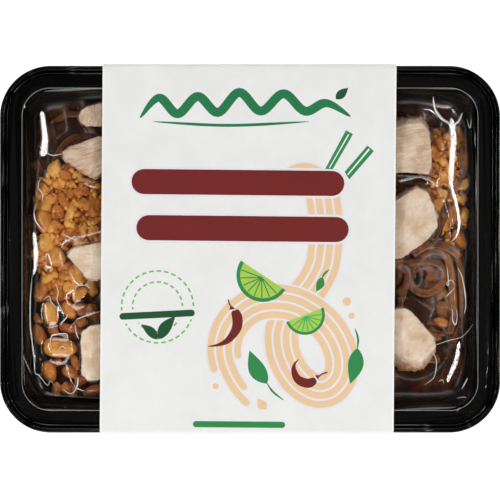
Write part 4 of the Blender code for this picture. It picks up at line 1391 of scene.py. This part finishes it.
def drapeFilm():  # the film hangs from the rim, pulled down onto the food
    halfX, halfY = tray["length"] / 2 - tray["flangeInset"], tray["width"] / 2 - tray["flangeInset"]
    deep = insideDepth(gridX, gridY, halfX, halfY, tray["cavityCorner"])
    fixed = deep <= 0.25
    wall = film["under"] - np.maximum(deep, 0) / math.tan(tray["draft"])
    near = widen(contents, 1) + 0.06
    ground = soften(widen(contents, film["spread"]) + film["clear"], film["soften"])
    ground = np.maximum(ground, near)
    ground = np.maximum(ground, wall)
    ground = np.minimum(ground, film["under"])
    levels = None
    for scale, rounds in zip((4, 2, 1), film["rounds"]):
        part = (slice(None, None, scale), slice(None, None, scale))
        if levels is None:
            levels = np.full(gridX[part].shape, film["under"])
        else:
            rows, columns = gridX[part].shape
            levels = np.repeat(np.repeat(levels, 2, axis=0), 2, axis=1)[:rows, :columns]
        levels = np.maximum(levels, ground[part])
        levels[fixed[part]] = film["under"]
        levels = settle(levels, ground[part], fixed[part], fieldStep * scale, rounds)
    levels = np.where(deep < 1.6, levels, soften(levels, 3))
    for points, facing, least in filmFolds:
        levels = addFold(levels, np.maximum(near, wall), np.array(points), facing, least)
    return np.minimum(levels, film["under"])


def fieldAt(levels, x, y):  # the field between its cells
    column = np.clip((np.asarray(x) + fieldHalfX) / fieldStep, 0, len(fieldX) - 1.001)
    row = np.clip((np.asarray(y) + fieldHalfY) / fieldStep, 0, len(fieldY) - 1.001)
    c, r = column.astype(int), row.astype(int)
    u, v = column - c, row - r
    return ((levels[r, c] * (1 - u) + levels[r, c + 1] * u) * (1 - v)
            + (levels[r + 1, c] * (1 - u) + levels[r + 1, c + 1] * u) * v)


def makeFilmFinish():
    material = bpy.data.materials.new("clearFilm")
    material.use_nodes = True
    tree = material.node_tree
    shader = tree.nodes["Principled BSDF"]
    for key, value in {"Base Color": (1, 1, 1, 1), "Metallic": 1.0}.items():
        shader.inputs[key].default_value = value
    cling = addNode(tree, "ShaderNodeAttribute", attribute_name="cling").outputs["Fac"]
    dulled = addNode(tree, "ShaderNodeMapRange", {"Value": cling, "To Min": 0.13, "To Max": 0.3})
    tree.links.new(dulled.outputs["Result"], shader.inputs["Roughness"])
    clear = addNode(tree, "ShaderNodeBsdfTransparent")
    clear.inputs["Color"].default_value = (0.995, 0.995, 0.995, 1)
    gloss = addNode(tree, "ShaderNodeFresnel", {"IOR": 1.45})
    limited = addNode(tree, "ShaderNodeMath", {0: gloss.outputs["Fac"], 1: film["glossLimit"]},
                      operation="MINIMUM")
    bare = addNode(tree, "ShaderNodeMapRange", {"Value": cling, "To Min": 1.0, "To Max": 0.2})
    share = addNode(tree, "ShaderNodeMath", {0: limited.outputs["Value"], 1: bare.outputs["Result"]},
                    operation="MULTIPLY")
    both = addNode(tree, "ShaderNodeMixShader")
    tree.links.new(share.outputs["Value"], both.inputs[0])
    tree.links.new(clear.outputs["BSDF"], both.inputs[1])
    tree.links.new(shader.outputs["BSDF"], both.inputs[2])
    tree.links.new(both.outputs["Shader"], tree.nodes["Material Output"].inputs["Surface"])
    return material


def tubeAlong(path, heights, thick):  # a thin tube along a path, for the painted highlight lines
    along = np.gradient(np.c_[path, heights], axis=0)
    along /= np.linalg.norm(along, axis=1)[:, None] + 1e-9
    side = np.cross(np.array([0.0, 0.0, 1.0]), along)
    side /= np.linalg.norm(side, axis=1)[:, None] + 1e-9
    up = np.cross(along, side)
    rings = []
    for step in range(8):
        angle = 2 * math.pi * step / 8
        spread = side * math.cos(angle) + up * math.sin(angle)
        rings.append(np.c_[path, heights] + spread * thick[:, None])
    points, faces = loftRings(np.stack(rings, axis=1).tolist())
    return np.array(points), faces


def tuckOver(levels, points, facing):  # a smooth narrow slope standing on a fold of the film
    path = np.array(smoothPath(points, 12))
    path = path[np.argsort(path[:, 1])]
    y = np.arange(path[0, 1] - 0.8, path[-1, 1] + 0.8, 0.4)
    x, width = np.interp(y, path[:, 1], path[:, 0]), np.interp(y, path[:, 1], path[:, 2])
    width = width * np.clip(np.sin(np.linspace(0.03, math.pi - 0.03, len(y))) * 4, 0.1, 1) ** 0.6
    across = np.linspace(-1, 1, 13)
    slopes = np.tan(film["lean"] + math.radians(2.2) * across ** 5)
    rise = np.r_[0, np.cumsum((slopes[1:] + slopes[:-1]) / 2 * np.diff(across))]
    rise = (rise - rise.mean()) * facing
    rowX = x[:, None] + across * width[:, None] / 2
    under = fieldAt(levels, rowX, np.repeat(y[:, None], 13, axis=1)) + film["thick"]
    base = (under - rise * width[:, None] / 2).max(axis=1) + 0.05
    base = np.array([base[max(0, at - 24):at + 25].max() for at in range(len(base))])
    for _ in range(2):
        base = np.convolve(np.pad(base, 12, mode="edge"), np.ones(25) / 25, mode="valid")
    steep = np.gradient(base, y) - facing * film["tilt"] * np.gradient(x, y)
    ease = 1 - steep ** 2 / (1 - film["tilt"] ** 2)  # a fold that climbs leans less, to shine alike
    level = base[:, None] + rise * (ease * width)[:, None] / 2
    top = np.stack([rowX, np.repeat(y[:, None], 13, axis=1), level], axis=2)
    low = top - np.array([0.0, 0.0, 0.03])
    rings = np.concatenate([top, low[:, ::-1]], axis=1)
    points, faces = loftRings(rings.tolist())
    return np.array(points), faces


def buildCreaseHighlights(levels, clear):  # thin tubes on the film painted white as its highlight lines, a faint painted highlight line round the rim, and the tucks over the folds
    parts, slots = [], []
    for corners, thick in filmCreaseHighlights:
        path = evenPath(smoothPath(corners, 8), 0.45)
        share = np.linspace(0, 1, len(path))
        taper = np.clip(np.sin(np.pi * np.clip(share, 0.02, 0.98)), 0, 1) ** 0.5 * thick
        taper *= 1 + 0.45 * np.array([noise.noise(Vector((x * 0.35, y * 0.35, thick * 40)))
                                      for x, y in path.tolist()])
        heights = fieldAt(levels, path[:, 0], path[:, 1]) + film["thick"] + taper * 0.4
        parts.append(tubeAlong(path, heights, taper))
        slots += [0 if thick > 0.19 else 1] * len(parts[-1][1])
    # a faint white tube round the rim is a painted highlight of the film's bend over it
    inset = tray["flangeInset"] - 0.05
    rim = roundedRing(tray["length"] / 2 - inset, tray["width"] / 2 - inset, tray["cavityCorner"], 24, 2.0)
    rim = np.array(rim + rim[:1])
    level = film["under"] + film["thick"]
    parts.append(tubeAlong(rim, np.full(len(rim), level), np.full(len(rim), film["rimHighlightLine"])))
    slots += [1] * len(parts[-1][1])
    for corners, facing, _ in filmFolds:
        parts.append(tuckOver(levels, corners, facing))
        slots += [2] * len(parts[-1][1])
    points, faces, _ = joinParts(parts)
    # white, partly clear materials: painted highlights that stand in for the film's shine along its creases
    bright = finish("paintedHighlightBright", {"Base Color": (0.98, 0.98, 0.98, 1), "Roughness": 0.3, "Alpha": 0.92})
    faint = finish("paintedHighlightFaint", {"Base Color": (0.98, 0.98, 0.98, 1), "Roughness": 0.3, "Alpha": 0.6})
    creases = outward(makeObject("filmCreaseHighlights", points, faces, [bright, faint, clear], slots))
    creases.data.set_sharp_from_angle(angle=math.radians(60))
    fit(creases, "clear_film", "film_lid")


def clingShare(levels):  # 1 where the film sticks to what is under it and loses its shine
    cling = np.clip((chickenLevels > bareLevel) * 1.0 * (levels - chickenLevels < 1.0), 0, 1)
    cling = soften(widen(cling, 1), 2)
    deep = insideDepth(gridX, gridY, tray["length"] / 2 - tray["flangeInset"],
                       tray["width"] / 2 - tray["flangeInset"], tray["cavityCorner"])
    cling = np.maximum(cling, np.clip((7.0 - deep) / 2.0, 0, 1) * (deep > -0.6))
    for left, right, low, high in film["dull"]:
        inside = np.minimum(np.minimum(gridX - left, right - gridX), np.minimum(gridY - low, high - gridY))
        cling = np.maximum(cling, np.clip(inside / 3.0, 0, 0.85))
    for points, _, _ in filmFolds:  # the tuck over each fold shines in its place
        for x, y, width in smoothPath(points, 10):
            cling = np.maximum(cling, np.hypot(gridX - x, gridY - y) < width * 0.5 + 1.4)
    return cling


def buildFilm():
    levels = drapeFilm()
    tell("film draped")
    halfX, halfY = tray["length"] / 2 - film["edgeInset"], tray["width"] / 2 - film["edgeInset"]
    corner = tray["corner"] - film["edgeInset"]
    edge = roundedRing(halfX, halfY, corner, 24, 1.5)
    fine = np.arange(film["fineX"], 89.6, film["fineStep"])
    coarse = np.arange(-film["fineX"] + film["coarseStep"], film["fineX"] - 0.5, film["coarseStep"])
    xs, ys = np.meshgrid(np.r_[-fine[::-1], coarse, fine], np.arange(-61.5, 61.6, film["rows"]))
    keep = insideDepth(xs, ys, halfX, halfY, corner) > 0.8
    inner = np.stack([xs[keep], ys[keep]], axis=1)
    inner = np.round(inner, 4)
    placed, faces = triangulate(edge, inner)
    flat = np.array([(point.x, point.y) for point in placed])
    inCavity = insideDepth(flat[:, 0], flat[:, 1], tray["length"] / 2 - tray["flangeInset"],
                           tray["width"] / 2 - tray["flangeInset"], tray["cavityCorner"]) > 0
    z = np.where(inCavity, fieldAt(levels, flat[:, 0], flat[:, 1]), film["under"])
    count = len(flat)
    points = np.concatenate([np.c_[flat, z], np.c_[flat, z + film["thick"]]])
    allFaces = [tuple(reversed(face)) for face in faces]
    allFaces += [tuple(index + count for index in face) for face in faces]
    border = len(edge)
    for index in range(border):
        after = (index + 1) % border
        allFaces.append((index, after, after + count, index + count))
    clear = makeFilmFinish()
    sheet = outward(makeObject("clearFilmLid", points, allFaces, [clear]))
    sheet.data.set_sharp_from_angle(angle=math.radians(60))
    print("film triangles", len(allFaces))
    cling = clingShare(levels)
    addAttribute(sheet, "cling", np.tile(fieldAt(cling, flat[:, 0], flat[:, 1]), 2))
    buildCreaseHighlights(levels, clear)
    return fit(sheet, "clear_film", "film_lid")


buildFilm()
tell("film")


# Floor, light and camera

view = dict(distance=1800.0, middleY=-0.28, lipLevel=32.65, sensor=36.0)
studio = dict(
    leftStrip=dict(place=(-760.0, -40.0, 800.0), size=(1300.0, 42.0), power=28.0),
    rightStrip=dict(place=(760.0, -40.0, 800.0), size=(1300.0, 42.0), power=28.0),
    frontSoft=dict(place=(0.0, -900.0, 700.0), size=(1100.0, 420.0), power=4.8),
    backSoft=dict(place=(0.0, 1000.0, 650.0), size=(1100.0, 320.0), power=3.6))


def buildStudio():
    for name, lamp in studio.items():
        data = bpy.data.lights.new(name, "AREA")
        data.shape = "RECTANGLE"
        data.size, data.size_y = lamp["size"][0] * mm, lamp["size"][1] * mm
        area = data.size * data.size_y
        data.energy = lamp["power"] * area * math.pi
        holder = bpy.data.objects.new(name, data)
        holder.location = Vector(lamp["place"]) * mm
        aim = Vector((0, 0, 0.03)) - holder.location
        holder.rotation_euler = aim.to_track_quat("-Z", "Y").to_euler()
        bpy.context.scene.collection.objects.link(holder)
    world = bpy.data.worlds.new("studioAir")
    world.use_nodes = True
    world.node_tree.nodes["Background"].inputs["Color"].default_value = (1, 1, 1, 1)
    world.node_tree.nodes["Background"].inputs["Strength"].default_value = 0.04
    bpy.context.scene.world = world
    table = finish("whiteTable", {"Base Color": (0.9, 0.9, 0.9, 1), "Roughness": 0.8,
                                  "Emission Color": (1, 1, 1, 1), "Emission Strength": 0.6},
                   {"Wide Scale": 30.0, "Fine Scale": 200.0}, 0.00002)
    floor = makeObject("tableTop", [(-4000, -4000, -0.05), (4000, -4000, -0.05), (4000, 4000, -0.05),
                                    (-4000, 4000, -0.05)], [(0, 1, 2, 3)], [table], smooth=False)
    lens = bpy.data.cameras.new("overhead")
    lens.sensor_width = view["sensor"]
    lens.lens = view["sensor"] * view["distance"] / tray["length"]
    lens.clip_end = 20
    eye = bpy.data.objects.new("overhead", lens)
    eye.location = (0, view["middleY"] * mm, (view["lipLevel"] + view["distance"]) * mm)
    bpy.context.scene.collection.objects.link(eye)
    bpy.context.scene.camera = eye
    bpy.context.scene.view_settings.view_transform = "Standard"


buildStudio()
tell("studio")
